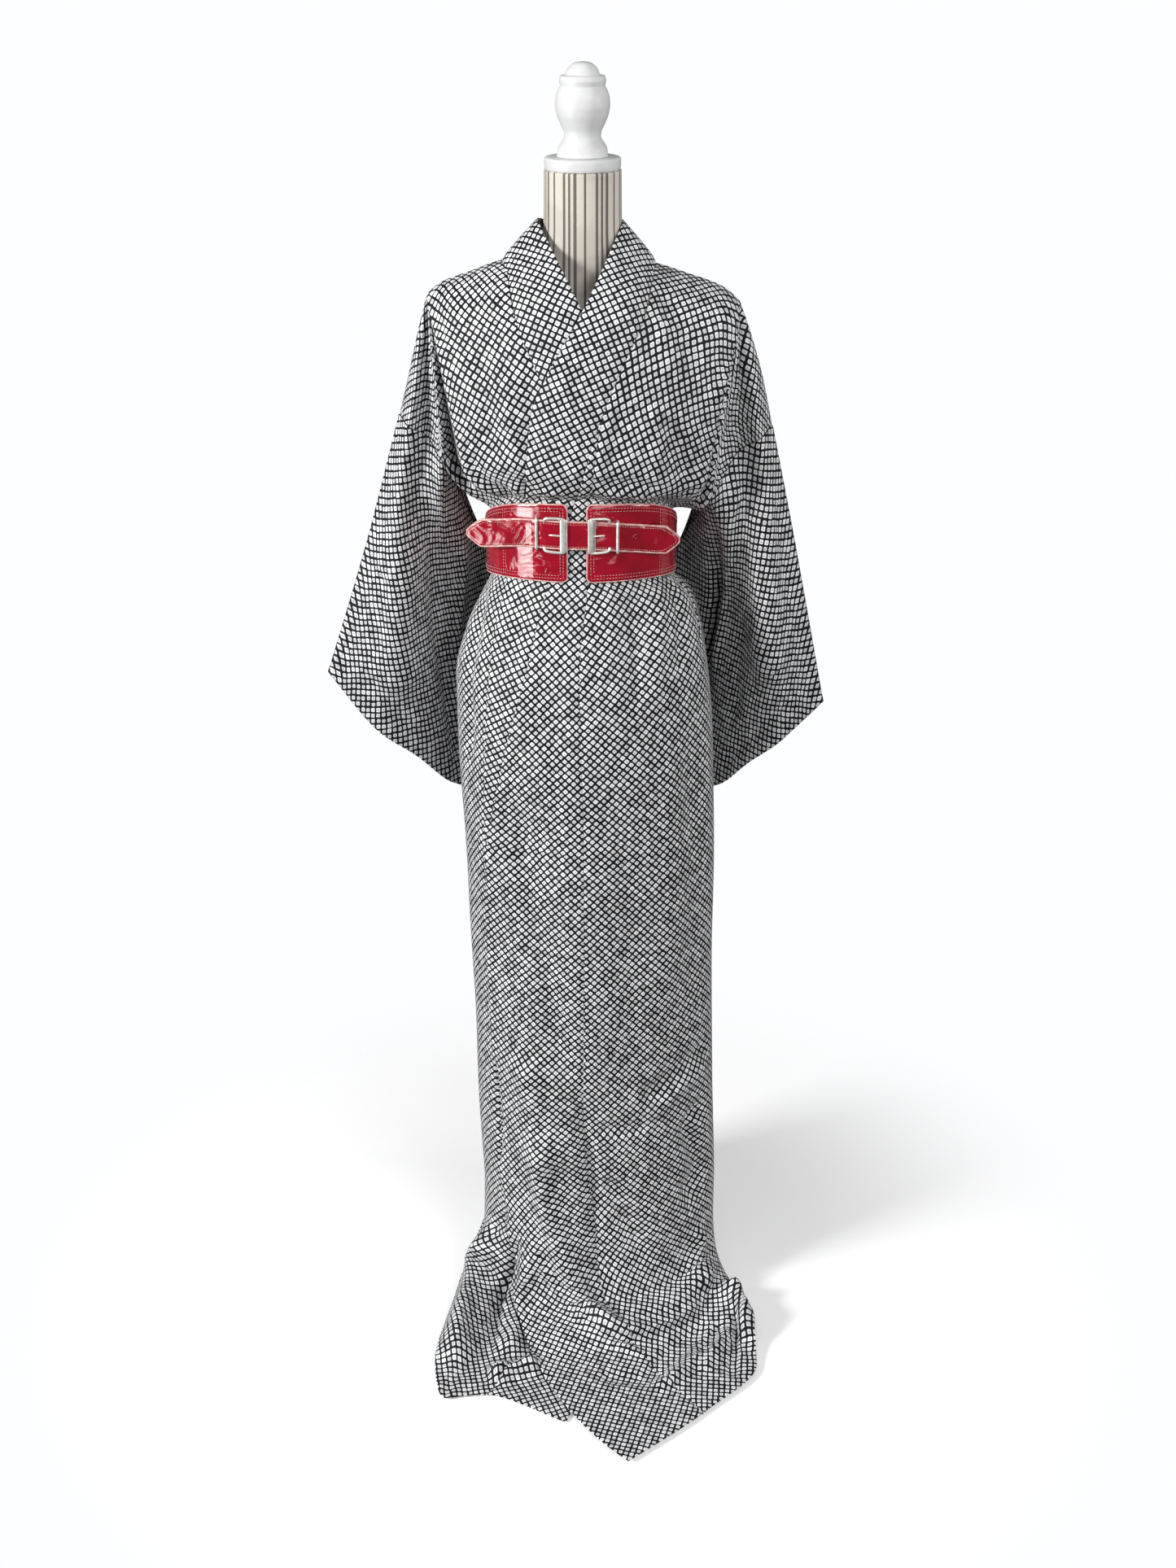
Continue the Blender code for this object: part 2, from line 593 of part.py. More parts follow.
def collar_grid():
    """All cross rows of the collar, from the left front's end round the neck to the right front's end."""
    left = collar_rows(1.0)
    right = collar_rows(-1.0)
    neck = []
    stations = [(-1.0, row) for row in COLLAR_NECK[1:]]
    order = [(1.0, row) for row in reversed(COLLAR_NECK)] + stations
    for side, row in order:
        across = side * (COLLAR_LEFT_SHARE if side > 0 else 1.0)
        seam = np.array((across * row[0], row[1], row[2]))
        edge = np.array((across * row[3], row[4], row[5]))
        neck.append(np.array([seam + (edge - seam) * share for share in np.linspace(0.0, 1.0, 4)]))
    return list(reversed(left)) + neck + right


def sleeve_sections(side):
    """Front and back section rows of one sleeve below its seam, through the same places down the drop."""
    drops = np.array(SLEEVE_DROPS)
    mirror = np.array((side, 1.0, 1.0))
    front = []
    back = []
    for share, points in SLEEVE_LEFT if side > 0 else SLEEVE_RIGHT:
        points = np.array(points) * mirror
        bag = SLEEVE_BAG * np.sin(math.pi * drops) ** 0.6
        if share == 1.0:
            bag = np.where(drops > 0.45, np.minimum(bag, SLEEVE_SEWN), bag)
        front.append(hermite(drops, points, SLEEVE_PLACES))
        behind = points + np.stack([0.2 * side * bag, bag, 0.0 * bag], axis=-1)
        back.append(hermite(drops, behind, SLEEVE_PLACES))
    return front, back


def seam_line(side, front):
    """The sleeve's seam on the body's rim, and its free edge below the armhole."""
    sewn = [row / ROW_ARMHOLE * ARMHOLE for row in SLEEVE_ROWS]
    angles = np.degrees(np.arctan2(sewn, BODY_SPAN - SHOULDER_SPAN))
    rim = rim_point(angles, side, front)
    furi = np.array([row[1:] for row in (FURI_LEFT if side > 0 else FURI_RIGHT)]) * np.array((side, 1.0, 1.0))
    if not front:
        furi[0, 1] += SLEEVE_BAG
    keys = np.array((SLEEVE_PLACES[len(sewn) - 1], SLEEVE_DROPS[-2], SLEEVE_DROPS[-1]))
    free = hermite(keys, np.vstack([rim[-1:], furi]), SLEEVE_PLACES[len(sewn):])
    return np.vstack([rim, free])


def sleeve_grid(side):
    """Rings of one sleeve bag along its width: down the front layer and back up the back layer."""
    front, back = sleeve_sections(side)
    front.insert(0, seam_line(side, True))
    back.insert(0, seam_line(side, False))
    width = np.array([0.0] + [row[0] for row in SLEEVE_RIGHT])
    rings = []
    for share in SLEEVE_SHARES:
        fore = hermite(width, np.array(front), np.array([share]))[0]
        aft = hermite(width, np.array(back), np.array([share]))[0]
        rings.append(np.vstack([fore, aft[-2:0:-1]]))
    way = rings[1] - rings[0]
    rings[0] = rings[0] + way / np.linalg.norm(way, axis=1, keepdims=True) * SLEEVE_SEAM_GAP
    return rings


def material(name):
    """Principled material with the piece's colour."""
    colour, roughness, metallic = COLOURS[name]
    made = bpy.data.materials.get(name) or bpy.data.materials.new(name)
    made.use_nodes = True
    shader = made.node_tree.nodes["Principled BSDF"]
    shader.inputs["Base Color"].default_value = colour
    shader.inputs["Roughness"].default_value = roughness
    shader.inputs["Metallic"].default_value = metallic
    made.diffuse_color = colour
    return made


def add_object(name, mesh, kind, collection):
    """Link a mesh object under its node name."""
    made = bpy.data.objects.new(name, mesh)
    made.data.materials.append(material(kind))
    collection.objects.link(made)
    return made


def grid_mesh(name, grids, closed=False):
    """Surface through rows of points; grids that share a row are joined there."""
    work = bmesh.new()
    for rows in grids:
        lines = [[work.verts.new(point) for point in row] for row in rows]
        for upper, lower in zip(lines, lines[1:]):
            count = len(upper)
            for i in range(count if closed else count - 1):
                j = (i + 1) % count
                work.faces.new((upper[i], upper[j], lower[j], lower[i]))
    bmesh.ops.remove_doubles(work, verts=work.verts, dist=1e-6)
    bmesh.ops.recalc_face_normals(work, faces=work.faces)
    mesh = bpy.data.meshes.new(name)
    work.to_mesh(mesh)
    work.free()
    mesh.shade_smooth()
    return mesh


def cloth_wall(name, grids, wall, kind, collection, closed=False, even=True):
    """A wall of cloth or leather: an open surface thickened to both sides."""
    made = add_object(name, grid_mesh(name, grids, closed), kind, collection)
    solid = made.modifiers.new("Wall", "SOLIDIFY")
    solid.thickness = wall
    solid.offset = 0.0
    solid.use_even_offset = even
    solid.use_rim = True
    return made


def turned(name, profile, kind, collection, steps=28):
    """A turned solid from a profile that runs down its outer side."""
    mesh = bpy.data.meshes.new(name)
    mesh.from_pydata([(radius, 0.0, height) for radius, height in profile],
                     [(i, i + 1) for i in range(len(profile) - 1)], [])
    made = add_object(name, mesh, kind, collection)
    screw = made.modifiers.new("Turn", "SCREW")
    screw.axis = "Z"
    screw.steps = steps
    screw.render_steps = steps
    screw.use_merge_vertices = True
    screw.merge_threshold = 0.0001
    screw.use_smooth_shade = True
    return made


def form_torso(collection):
    """Closed torso and neck, lofted through its sections."""
    keys, values = table(FORM_RINGS)
    heights = np.array((0.700, 0.712, 0.74, 0.79, 0.85, 0.92, 0.99, 1.06, 1.12, 1.18, 1.24, 1.28, 1.31,
                        1.337, 1.352, 1.366, 1.380, 1.398, 1.425, 1.484))
    angles = np.linspace(0.0, 2.0 * math.pi, 32, endpoint=False)
    work = bmesh.new()
    lines = []
    for height, (width, fore, aft) in zip(heights, hermite(keys, values, heights)):
        x = width * np.sin(angles)
        depth = np.where(np.cos(angles) > 0.0, fore, aft)
        y = -depth * np.cos(angles)
        lines.append([work.verts.new((px, py, height)) for px, py in zip(x, y)])
    for upper, lower in zip(lines[1:], lines):
        for i in range(len(upper)):
            j = (i + 1) % len(upper)
            work.faces.new((upper[i], lower[i], lower[j], upper[j]))
    work.faces.new(lines[0])
    work.faces.new(list(reversed(lines[-1])))
    bmesh.ops.recalc_face_normals(work, faces=work.faces)
    mesh = bpy.data.meshes.new("form_torso")
    work.to_mesh(mesh)
    work.free()
    mesh.shade_smooth()
    return add_object("form_torso", mesh, "ticking", collection)


def waist_ring(angle, lift):
    """Point of the waist at an angle from the front (positive to the wearer's left), moved outward."""
    width = (WAIST["left"] if math.sin(angle) >= 0.0 else WAIST["right"]) + lift
    depth = (WAIST["front"] if math.cos(angle) >= 0.0 else WAIST["back"]) + lift
    turn = math.cos(angle)
    return (width * math.sin(angle), -math.copysign(depth * abs(turn) ** ROUNDNESS, turn))


def waist_angle(x, lift):
    """Angle at which the front of the waist reaches an x."""
    width = (WAIST["left"] if x >= 0.0 else WAIST["right"]) + lift
    return math.asin(max(-1.0, min(1.0, x / width)))


def belt_edges(angle):
    """Heights of the belt's lower and upper edge: tall in front, narrow and lower behind."""
    share = front_share(max(0.0, math.cos(angle)))
    return tuple(behind + (front - behind) * share for front, behind in (BELT_LOW, BELT_HIGH))


def belt_band(collection):
    """Band round the waist with two flaps that stop short of each other in front."""
    start = waist_angle(BELT_GAP[1], BELT_LIFT)
    end = 2.0 * math.pi + waist_angle(BELT_GAP[0], BELT_LIFT)
    columns = []
    for share in np.linspace(0.0, 1.0, 49):
        angle = start + (end - start) * share
        x, y = waist_ring(angle, BELT_LIFT)
        low, high = belt_edges(angle)
        columns.append([(x, y, low + (high - low) * part) for part in (0.0, 0.5, 1.0)])
    return cloth_wall("belt_band", [columns], BELT_WALL, "belt", collection)


def strap_point(x, lift):
    """Front of the strap at an x: on the waist in the middle, and straight on past it at both ends."""
    leave = STRAP_LEAVES[0] if x < 0.0 else STRAP_LEAVES[1]
    if abs(x) <= abs(leave):
        return waist_ring(waist_angle(x, lift), lift)[1]
    near = waist_ring(waist_angle(leave, lift), lift)[1]
    nearer = waist_ring(waist_angle(0.97 * leave, lift), lift)[1]
    return near + (near - nearer) / (0.03 * leave) * (x - leave) * STRAP_STRAIGHT


def strap_height(x):
    """Height of the strap's middle line: it sinks towards both ends."""
    return STRAP_Z - 0.008 * ease(0.05, 0.14, -x) - 0.0155 * ease(0.0, 0.13, x)


def belt_strap(collection):
    """Strap pointed at both ends, in front of the flaps."""
    half = 0.5 * STRAP_WIDTH
    point = 0.016
    columns = []
    inner = np.linspace(STRAP_ENDS[0] + point, STRAP_ENDS[1] - point, 23)
    stations = [STRAP_ENDS[0], STRAP_ENDS[0] + 0.5 * point, *inner, STRAP_ENDS[1] - 0.5 * point, STRAP_ENDS[1]]
    for x in stations:
        near = min(x - STRAP_ENDS[0], STRAP_ENDS[1] - x)
        height = half * min(1.0, 0.18 + 0.82 * near / point)
        y = strap_point(x, STRAP_LIFT)
        columns.append([(x, y, strap_height(x) + height * part) for part in (-1.0, 0.0, 1.0)])
    return cloth_wall("belt_strap", [columns], STRAP_WALL, "belt", collection)


def curve_object(name, points, radius, kind, collection, cyclic=False):
    """A bent wire as a mesh, from a bevelled curve with welded caps."""
    curve = bpy.data.curves.new(name, "CURVE")
    curve.dimensions = "3D"
    curve.bevel_depth = radius
    curve.bevel_resolution = 2
    curve.use_fill_caps = not cyclic
    spline = curve.splines.new("POLY")
    spline.points.add(len(points) - 1)
    for target, point in zip(spline.points, points):
        target.co = (*point, 1.0)
    spline.use_cyclic_u = cyclic
    holder = bpy.data.objects.new(name + "_curve", curve)
    collection.objects.link(holder)
    bpy.context.view_layer.update()
    mesh = bpy.data.meshes.new_from_object(holder.evaluated_get(bpy.context.evaluated_depsgraph_get()))
    work = bmesh.new()
    work.from_mesh(mesh)
    bmesh.ops.remove_doubles(work, verts=work.verts, dist=1e-5)
    work.to_mesh(mesh)
    work.free()
    mesh.materials.clear()
    mesh.name = name
    mesh.shade_smooth()
    bpy.data.objects.remove(holder)
    bpy.data.curves.remove(curve)
    return add_object(name, mesh, kind, collection)


def buckle(name, x, collection):
    """Rectangular frame with rounded corners round the strap, drawn as a closed bent wire."""
    width, height, thick = BUCKLE_SIZE
    radius = 0.5 * thick
    corner = 0.006
    y = strap_point(x, BUCKLE_LIFT)
    slope = (strap_point(x + 0.004, BUCKLE_LIFT) - strap_point(x - 0.004, BUCKLE_LIFT)) / 0.008
    points = []
    for centre_x, centre_z, turn in ((1, 1, 0.0), (-1, 1, 90.0), (-1, -1, 180.0), (1, -1, 270.0)):
        for step in range(4):
            angle = math.radians(turn + 30.0 * step)
            dx = centre_x * (0.5 * width - corner) + corner * math.cos(angle)
            dz = centre_z * (0.5 * height - corner) + corner * math.sin(angle)
            points.append((x + dx, y + slope * dx, STRAP_Z + dz))
    return curve_object(name, points, radius, "metal", collection, cyclic=True)


def prong(name, x, reach, collection):
    """Pin from the buckle's inner bar across to its outer bar, over the strap."""
    points = []
    for share in (-0.3, 0.0, 0.3):
        place = x + reach * share
        points.append((place, strap_point(place, STRAP_LIFT) - 0.5 * STRAP_WALL - 0.0019, STRAP_Z))
    return curve_object(name, points, 0.0013, "metal", collection)


def keeper(name, x, collection):
    """Flat metal loop round the strap: a rounded bar in front of it."""
    y = strap_point(x, STRAP_LIFT) - 0.5 * STRAP_WALL - 0.0016
    half = 0.5 * STRAP_WIDTH + 0.002
    points = [(x, y, STRAP_Z + half * share) for share in (-1.0, -0.33, 0.33, 1.0)]
    return curve_object(name, points, 0.0012, "metal", collection)


def clear_scene():
    """Remove what the scene holds."""
    for item in list(bpy.data.objects):
        bpy.data.objects.remove(item, do_unlink=True)


def build():
    """Build every piece in one collection named for the object."""
    clear_scene()
    collection = bpy.data.collections.new("komon_kimono_on_dress_form")
    bpy.context.scene.collection.children.link(collection)

    form_torso(collection)
    turned("form_finial", FINIAL, "paint", collection)
    turned("form_collar", FLANGE, "paint", collection)
    pole_top = FORM_RINGS[0][0] - GAP
    pole_foot = BASE_THICKNESS + GAP
    turned("form_pole", ((0.0, pole_top), (POLE_RADIUS, pole_top), (POLE_RADIUS, pole_foot), (0.0, pole_foot)),
           "paint", collection, steps=20)
    turned("form_base", ((0.0, BASE_THICKNESS), (BASE_RADIUS - 0.004, BASE_THICKNESS),
                         (BASE_RADIUS, BASE_THICKNESS - 0.004), (BASE_RADIUS, 0.0), (0.0, 0.0)),
           "paint", collection, steps=40)

    for name, side in (("left", 1.0), ("right", -1.0)):
        cloth_wall("body_" + name, body_grids(side), WALL, "cloth", collection)
        cloth_wall("okumi_" + name, [okumi_rows(side)], WALL, "cloth", collection)
        cloth_wall("sleeve_" + name, [sleeve_grid(side)], WALL, "cloth", collection, closed=True, even=False)
    cloth_wall("collar", [collar_grid()], COLLAR_WALL, "cloth", collection)

    belt_band(collection)
    belt_strap(collection)
    for name, i, reach in (("right", 0, -0.026), ("left", 1, 0.026)):
        buckle("buckle_" + name, BUCKLE_X[i], collection)
        prong("prong_" + name, BUCKLE_X[i], reach, collection)
        keeper("keeper_" + name, KEEPER_X[i], collection)


build()
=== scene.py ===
"""Dressed model of a komon kimono with a wide leather belt, worn on a limbless dress form.

+X is the wearer's left, -Y is the front and +Z is up, in metres. Every piece of cloth is a thin shell on the same
drape surface as its solid: a point has a place across (0 on the centre line, 1 on the side seam) and a row down
from the shoulder ridge. The creases are laid on that surface.
"""

import logging
import math
from dataclasses import dataclass, field
from enum import Enum

import bpy
import numpy as np
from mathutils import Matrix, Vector


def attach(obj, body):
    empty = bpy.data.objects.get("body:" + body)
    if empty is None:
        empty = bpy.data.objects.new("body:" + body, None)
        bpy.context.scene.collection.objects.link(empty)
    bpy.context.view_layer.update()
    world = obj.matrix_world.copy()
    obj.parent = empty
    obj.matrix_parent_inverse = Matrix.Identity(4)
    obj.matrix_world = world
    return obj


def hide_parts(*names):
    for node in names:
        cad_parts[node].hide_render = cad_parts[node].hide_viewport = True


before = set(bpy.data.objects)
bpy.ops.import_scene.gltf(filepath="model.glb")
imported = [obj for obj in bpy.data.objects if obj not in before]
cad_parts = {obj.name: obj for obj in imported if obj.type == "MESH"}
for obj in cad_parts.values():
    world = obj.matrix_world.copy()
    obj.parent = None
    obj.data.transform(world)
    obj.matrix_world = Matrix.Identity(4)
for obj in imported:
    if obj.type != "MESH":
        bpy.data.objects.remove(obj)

log = logging.getLogger("kimono")
Array = np.ndarray
Rows = tuple[tuple[float, ...], ...]
Colour = tuple[float, float, float, float]
Place = tuple[float, float, float]
TINY = 1e-12
FULL_TURN = 2.0 * math.pi
LEVEL = np.array((1.0, 1.0, 0.0))
SIDE_NAMES = {1.0: "left", -1.0: "right"}
LAYER_NAMES = {1.0: "over", -1.0: "under"}


# Curves and small numeric helpers


def hermite(keys: Array, values: Array, at: Array) -> Array:
    """Smooth curve through values at rising keys, without overshoot.

    Args:
        keys: rising keys.
        values: one value, or one row of values, for each key.
        at: places to read the curve at.

    Returns:
        The values at those places.
    """
    keys, values = np.asarray(keys, float), np.asarray(values, float)
    at = np.clip(np.asarray(at, float), keys[0], keys[-1])
    step = np.diff(keys)
    slope = np.diff(values, axis=0) / step.reshape(-1, *([1] * (values.ndim - 1)))
    product, total = slope[:-1] * slope[1:], slope[:-1] + slope[1:]
    inner = np.where(product > 0.0, 2.0 * product / np.where(np.abs(total) > TINY, total, 1.0), 0.0)
    tangent = np.concatenate([slope[:1], inner, slope[-1:]])
    i = np.clip(np.searchsorted(keys, at, side="right") - 1, 0, len(step) - 1)
    wide = at.shape + (1,) * (values.ndim - 1)
    s, h = ((at - keys[i]) / step[i]).reshape(wide), step[i].reshape(wide)
    return (
        values[i] * (1 + 2 * s) * (1 - s) ** 2
        + values[i + 1] * s**2 * (3 - 2 * s)
        + h * tangent[i] * s * (1 - s) ** 2
        + h * tangent[i + 1] * s**2 * (s - 1)
    )


def curve(spots: Rows, count: int) -> Array:
    """Smooth line through a few spots, read at even steps."""
    return hermite(np.arange(len(spots)), spots, np.linspace(0.0, len(spots) - 1.0, count))


def ease(low: float, high: float, value: Array) -> Array:
    """Smooth step from 0 at low to 1 at high."""
    s = np.clip((value - low) / (high - low), 0.0, 1.0)
    return s * s * (3.0 - 2.0 * s)


def table(rows: Rows) -> tuple[Array, Array]:
    """Keys and value columns of a short table."""
    data = np.array(rows, float)
    return data[:, 0], data[:, 1:]


def unit(vectors: Array) -> Array:
    """The same vectors at length 1."""
    return vectors / np.maximum(np.linalg.norm(vectors, axis=-1, keepdims=True), TINY)


def run_length(points: Array, axis: int = 0) -> Array:
    """Distance along lines of points, from 0 at their start."""
    steps = np.linalg.norm(np.diff(points, axis=axis), axis=-1)
    return np.insert(np.cumsum(steps, axis=axis), 0, 0.0, axis=axis)


def crowded(count: int, edge: float, closeness: int) -> Array:
    """Shares from 0 to 1, closer together within a narrow margin at both ends.

    Args:
        count: number of even shares.
        edge: margin as a share.
        closeness: number of extra shares in each margin.

    Returns:
        Rising shares.
    """
    even = np.linspace(0.0, 1.0, count)
    near = edge * np.linspace(0.0, 1.0, closeness + 1) ** 1.6
    inner = even[(even > edge * 1.15) & (even < 1.0 - edge * 1.15)]
    return np.concatenate([near, inner, 1.0 - near[::-1]])


def relaxed_cut(points: Array, cut: Array, firm: Array | None = None, rounds: int = 2600) -> Array:
    """Flatten a grid of cloth by shifting its places in the cut until the lengths between them suit the cloth.

    Args:
        points: grid of points of the hung cloth.
        cut: first guess of each point's place in the cut.
        firm: how firmly each point keeps its lengths, from 0 where folds take cloth up to 1.
        rounds: number of small shifts.

    Returns:
        Grid of places in the cut.
    """
    down = run_length(points).mean(axis=1)
    wide = run_length(points, axis=1).mean(axis=0)
    i, j = (np.unique(np.searchsorted(run / run[-1], np.linspace(0.0, 1.0, max(least, int(run[-1] / step))) - 1e-9))
            for run, step, least in ((down, 0.035, 8), (wide, 0.022, 4)))
    spots, guess = points[np.ix_(i, j)], cut[np.ix_(i, j)]
    flat = guess.copy()
    hold = np.ones(flat.shape[:2]) if firm is None else firm[np.ix_(i, j)]
    every, first, last = slice(None), slice(None, -1), slice(1, None)
    links = (((first, every), (last, every), 1.0), ((every, first), (every, last), 1.0),
             ((first, first), (last, last), 0.35), ((first, last), (last, first), 0.35))
    lengths = [np.linalg.norm(spots[b] - spots[a], axis=-1, keepdims=True) for a, b, _ in links]
    holds = [stiffness * np.minimum(hold[a], hold[b])[..., None] for a, b, stiffness in links]
    for _ in range(rounds):
        shift = np.zeros_like(flat)
        for (a, b, _), length, held in zip(links, lengths, holds):
            way = flat[b] - flat[a]
            size = np.maximum(np.linalg.norm(way, axis=-1, keepdims=True), 1e-9)
            pull = held * way * (1.0 - length / size)
            shift[a] += pull
            shift[b] -= pull
        flat += 0.14 * (shift + 0.02 * (guess - flat))
    rise = hermite(down[i], flat, down)
    return hermite(wide[j], rise.swapaxes(0, 1), wide).swapaxes(0, 1)


def turned_cut(cut: Array, centre: Array, angles: Array) -> Array:
    """Turn each row of a cut map about one centre by its own angle in degrees."""
    swing = np.radians(angles)[:, None]
    x, y = cut[..., 0] - centre[0], cut[..., 1] - centre[1]
    return centre + np.stack([np.cos(swing) * x - np.sin(swing) * y, np.sin(swing) * x + np.cos(swing) * y], axis=-1)


# Meshes


def make_object(name: str, points: Array, faces: list, uv: Array | None = None) -> bpy.types.Object:
    """Mesh object with smooth faces and an optional cut map in metres.

    Args:
        name: object name.
        points: vertices.
        faces: vertex numbers of each face.
        uv: place in the cut for each vertex.

    Returns:
        The linked object.
    """
    mesh = bpy.data.meshes.new(name)
    mesh.from_pydata(np.asarray(points, float).tolist(), [], faces)
    if uv is not None:
        layer = mesh.uv_layers.new(name="cut")
        order = np.empty(len(mesh.loops), dtype=np.int32)
        mesh.loops.foreach_get("vertex_index", order)
        layer.data.foreach_set("uv", np.asarray(uv, np.float32)[order].ravel())
    mesh.validate()
    mesh.shade_smooth()
    made = bpy.data.objects.new(name, mesh)
    bpy.context.scene.collection.objects.link(made)
    return made


def numbered(shape: tuple[int, ...], start: int = 0) -> Array:
    """Vertex numbers of a grid, row by row."""
    return start + np.arange(shape[0] * shape[1]).reshape(shape[:2])


def grid_quads(numbers: Array, closed: bool = False) -> Array:
    """Quads between the rows and columns of a grid of vertex numbers."""
    if closed:
        numbers = np.concatenate([numbers, numbers[:, :1]], axis=1)
    corners = [numbers[:-1, :-1], numbers[:-1, 1:], numbers[1:, 1:], numbers[1:, :-1]]
    return np.stack(corners, axis=-1).reshape(-1, 4)


def quad_normals(points: Array, quads: Array) -> Array:
    """Normal of each quad, or of one, as long as its area needs."""
    a, b, c, d = (points[quads[..., corner]] for corner in range(4))
    return np.cross(c - a, d - b)


def faced(points: Array, quads: Array, near: int, way: Array) -> Array:
    """The quads, all turned over if the one with a given number looks against a way."""
    return quads[:, ::-1] if (quad_normals(points, quads[near]) * way).sum() < 0.0 else quads


def vertex_normals(points: Array, quads: Array) -> Array:
    """Normal at each vertex, from the quads around it."""
    normal = quad_normals(points, quads)
    total = np.zeros_like(points)
    for corner in range(4):
        np.add.at(total, quads[:, corner], normal)
    return unit(total)


def shell(name: str, points: Array, quads: Array, uv: Array, thickness: Array) -> bpy.types.Object:
    """A wall of cloth or leather with rounded free edges, from an open surface.

    Args:
        name: object name.
        points: middle surface.
        quads: faces, outward side first.
        uv: place in the cut for each vertex.
        thickness: wall at each vertex.

    Returns:
        The closed object.
    """
    size = len(points)
    normal = vertex_normals(points, quads)
    half = 0.5 * thickness[:, None]
    edges = np.concatenate([quads[:, [i, (i + 1) % 4]] for i in range(4)])
    key = np.sort(edges, axis=1)
    _, first, count = np.unique(key[:, 0] * size + key[:, 1], return_index=True, return_counts=True)
    rim = edges[first[count == 1]]
    lip = np.zeros_like(points)
    way = unit(np.cross(points[rim[:, 1]] - points[rim[:, 0]], normal[rim[:, 0]]))
    for end in range(2):
        np.add.at(lip, rim[:, end], way)
    edge = np.unique(rim)
    ring = np.full(size, -1)
    ring[edge] = 2 * size + np.arange(len(edge))
    outer, inner = points + normal * half, points - normal * half
    outer[edge] -= normal[edge] * half[edge] * 0.35
    inner[edge] += normal[edge] * half[edge] * 0.35
    rounded = points[edge] + (unit(lip) * half)[edge]
    sides = [
        np.stack([rim[:, 1], rim[:, 0], ring[rim[:, 0]], ring[rim[:, 1]]], axis=1),
        np.stack([ring[rim[:, 1]], ring[rim[:, 0]], rim[:, 0] + size, rim[:, 1] + size], axis=1),
    ]
    faces = np.concatenate([quads, quads[:, ::-1] + size, *sides])
    return make_object(name, np.concatenate([outer, inner, rounded]), faces.tolist(),
                       np.concatenate([uv, uv, uv[edge]]))


def tube(name: str, path: Array, radius: float, closed: bool = False, sides: int = 8) -> bpy.types.Object:
    """A round cord or wire along a path, with domed ends.

    Args:
        name: object name.
        path: points on its middle line.
        radius: radius.
        closed: whether it joins up with its start.
        sides: faces around.

    Returns:
        The object.
    """
    way = unit(np.roll(path, -1, axis=0) - np.roll(path, 1, axis=0) if closed else np.gradient(path, axis=0))
    up = np.where(np.abs(way[:, 2:3]) > 0.9, np.array([[1.0, 0.0, 0.0]]), np.array([[0.0, 0.0, 1.0]]))
    across = np.cross(way, up)
    for i in range(1, len(across)):
        if np.dot(across[i], across[i - 1]) < 0.0:
            across[i] = -across[i]
    across = unit(across)
    over = unit(np.cross(across, way))
    turn = np.linspace(0.0, FULL_TURN, sides, endpoint=False)
    round_ = np.cos(turn)[:, None] * across[:, None, :] + np.sin(turn)[:, None] * over[:, None, :]
    rings = path[:, None, :] + radius * round_
    long = run_length(path)
    if closed:
        numbers = numbered(rings.shape)
        faces = grid_quads(np.concatenate([numbers, numbers[:1]]), closed=True).tolist()
    else:
        extra = [path[i] + sign * way[i] * radius * 0.7 + 0.55 * radius * round_[i] for i, sign in ((0, -1), (-1, 1))]
        rings = np.concatenate([extra[0][None], rings, extra[1][None]])
        numbers = numbered(rings.shape)
        faces = grid_quads(numbers, closed=True).tolist() + [numbers[0][::-1].tolist(), numbers[-1].tolist()]
        long = np.concatenate([long[:1], long, long[-1:]])
    uv = np.stack(np.broadcast_arrays(turn[None] * radius, long[:, None]), axis=-1).reshape(-1, 2)
    return make_object(name, rings.reshape(-1, 3), faces, uv)


def stitches(name: str, paths: list[Array], normals: list[Array], length: float, gap: float,
             radius: float) -> bpy.types.Object:
    """Rows of short raised stitches along paths.

    Args:
        name: object name.
        paths: one line of points for each row.
        normals: outward normals at those points.
        length: length of a stitch.
        gap: gap between stitches.
        radius: half the thread's width.

    Returns:
        One object that holds them all.
    """
    turn = np.linspace(0.0, FULL_TURN, 6, endpoint=False)
    rings = ((-0.5, 0.35, -0.4), (-0.3, 0.95, 0.35), (0.3, 0.95, 0.35), (0.5, 0.35, -0.4))
    points, faces = [], []
    for path, normal in zip(paths, normals):
        long = run_length(path)
        count = max(1, int(long[-1] / (length + gap)))
        for i in range(count):
            at = (i + 0.5) * long[-1] / count
            place, near, back, out = (np.array([np.interp(at + step, long, line[:, k]) for k in range(3)])
                                      for line, step in ((path, 0.0), (path, 2e-4), (path, -2e-4), (normal, 0.0)))
            out, way = unit(out), unit(near - back)
            side = unit(np.cross(way, out))
            numbers = numbered((4, 6), len(points))
            for part, wide, high in rings:
                centre = place + way * length * part + out * radius * high
                for angle in turn:
                    points.append(centre + radius * wide * (math.cos(angle) * side + 0.7 * math.sin(angle) * out))
            faces += grid_quads(numbers, closed=True).tolist() + [numbers[0][::-1].tolist(), numbers[-1].tolist()]
    return make_object(name, np.array(points), faces)


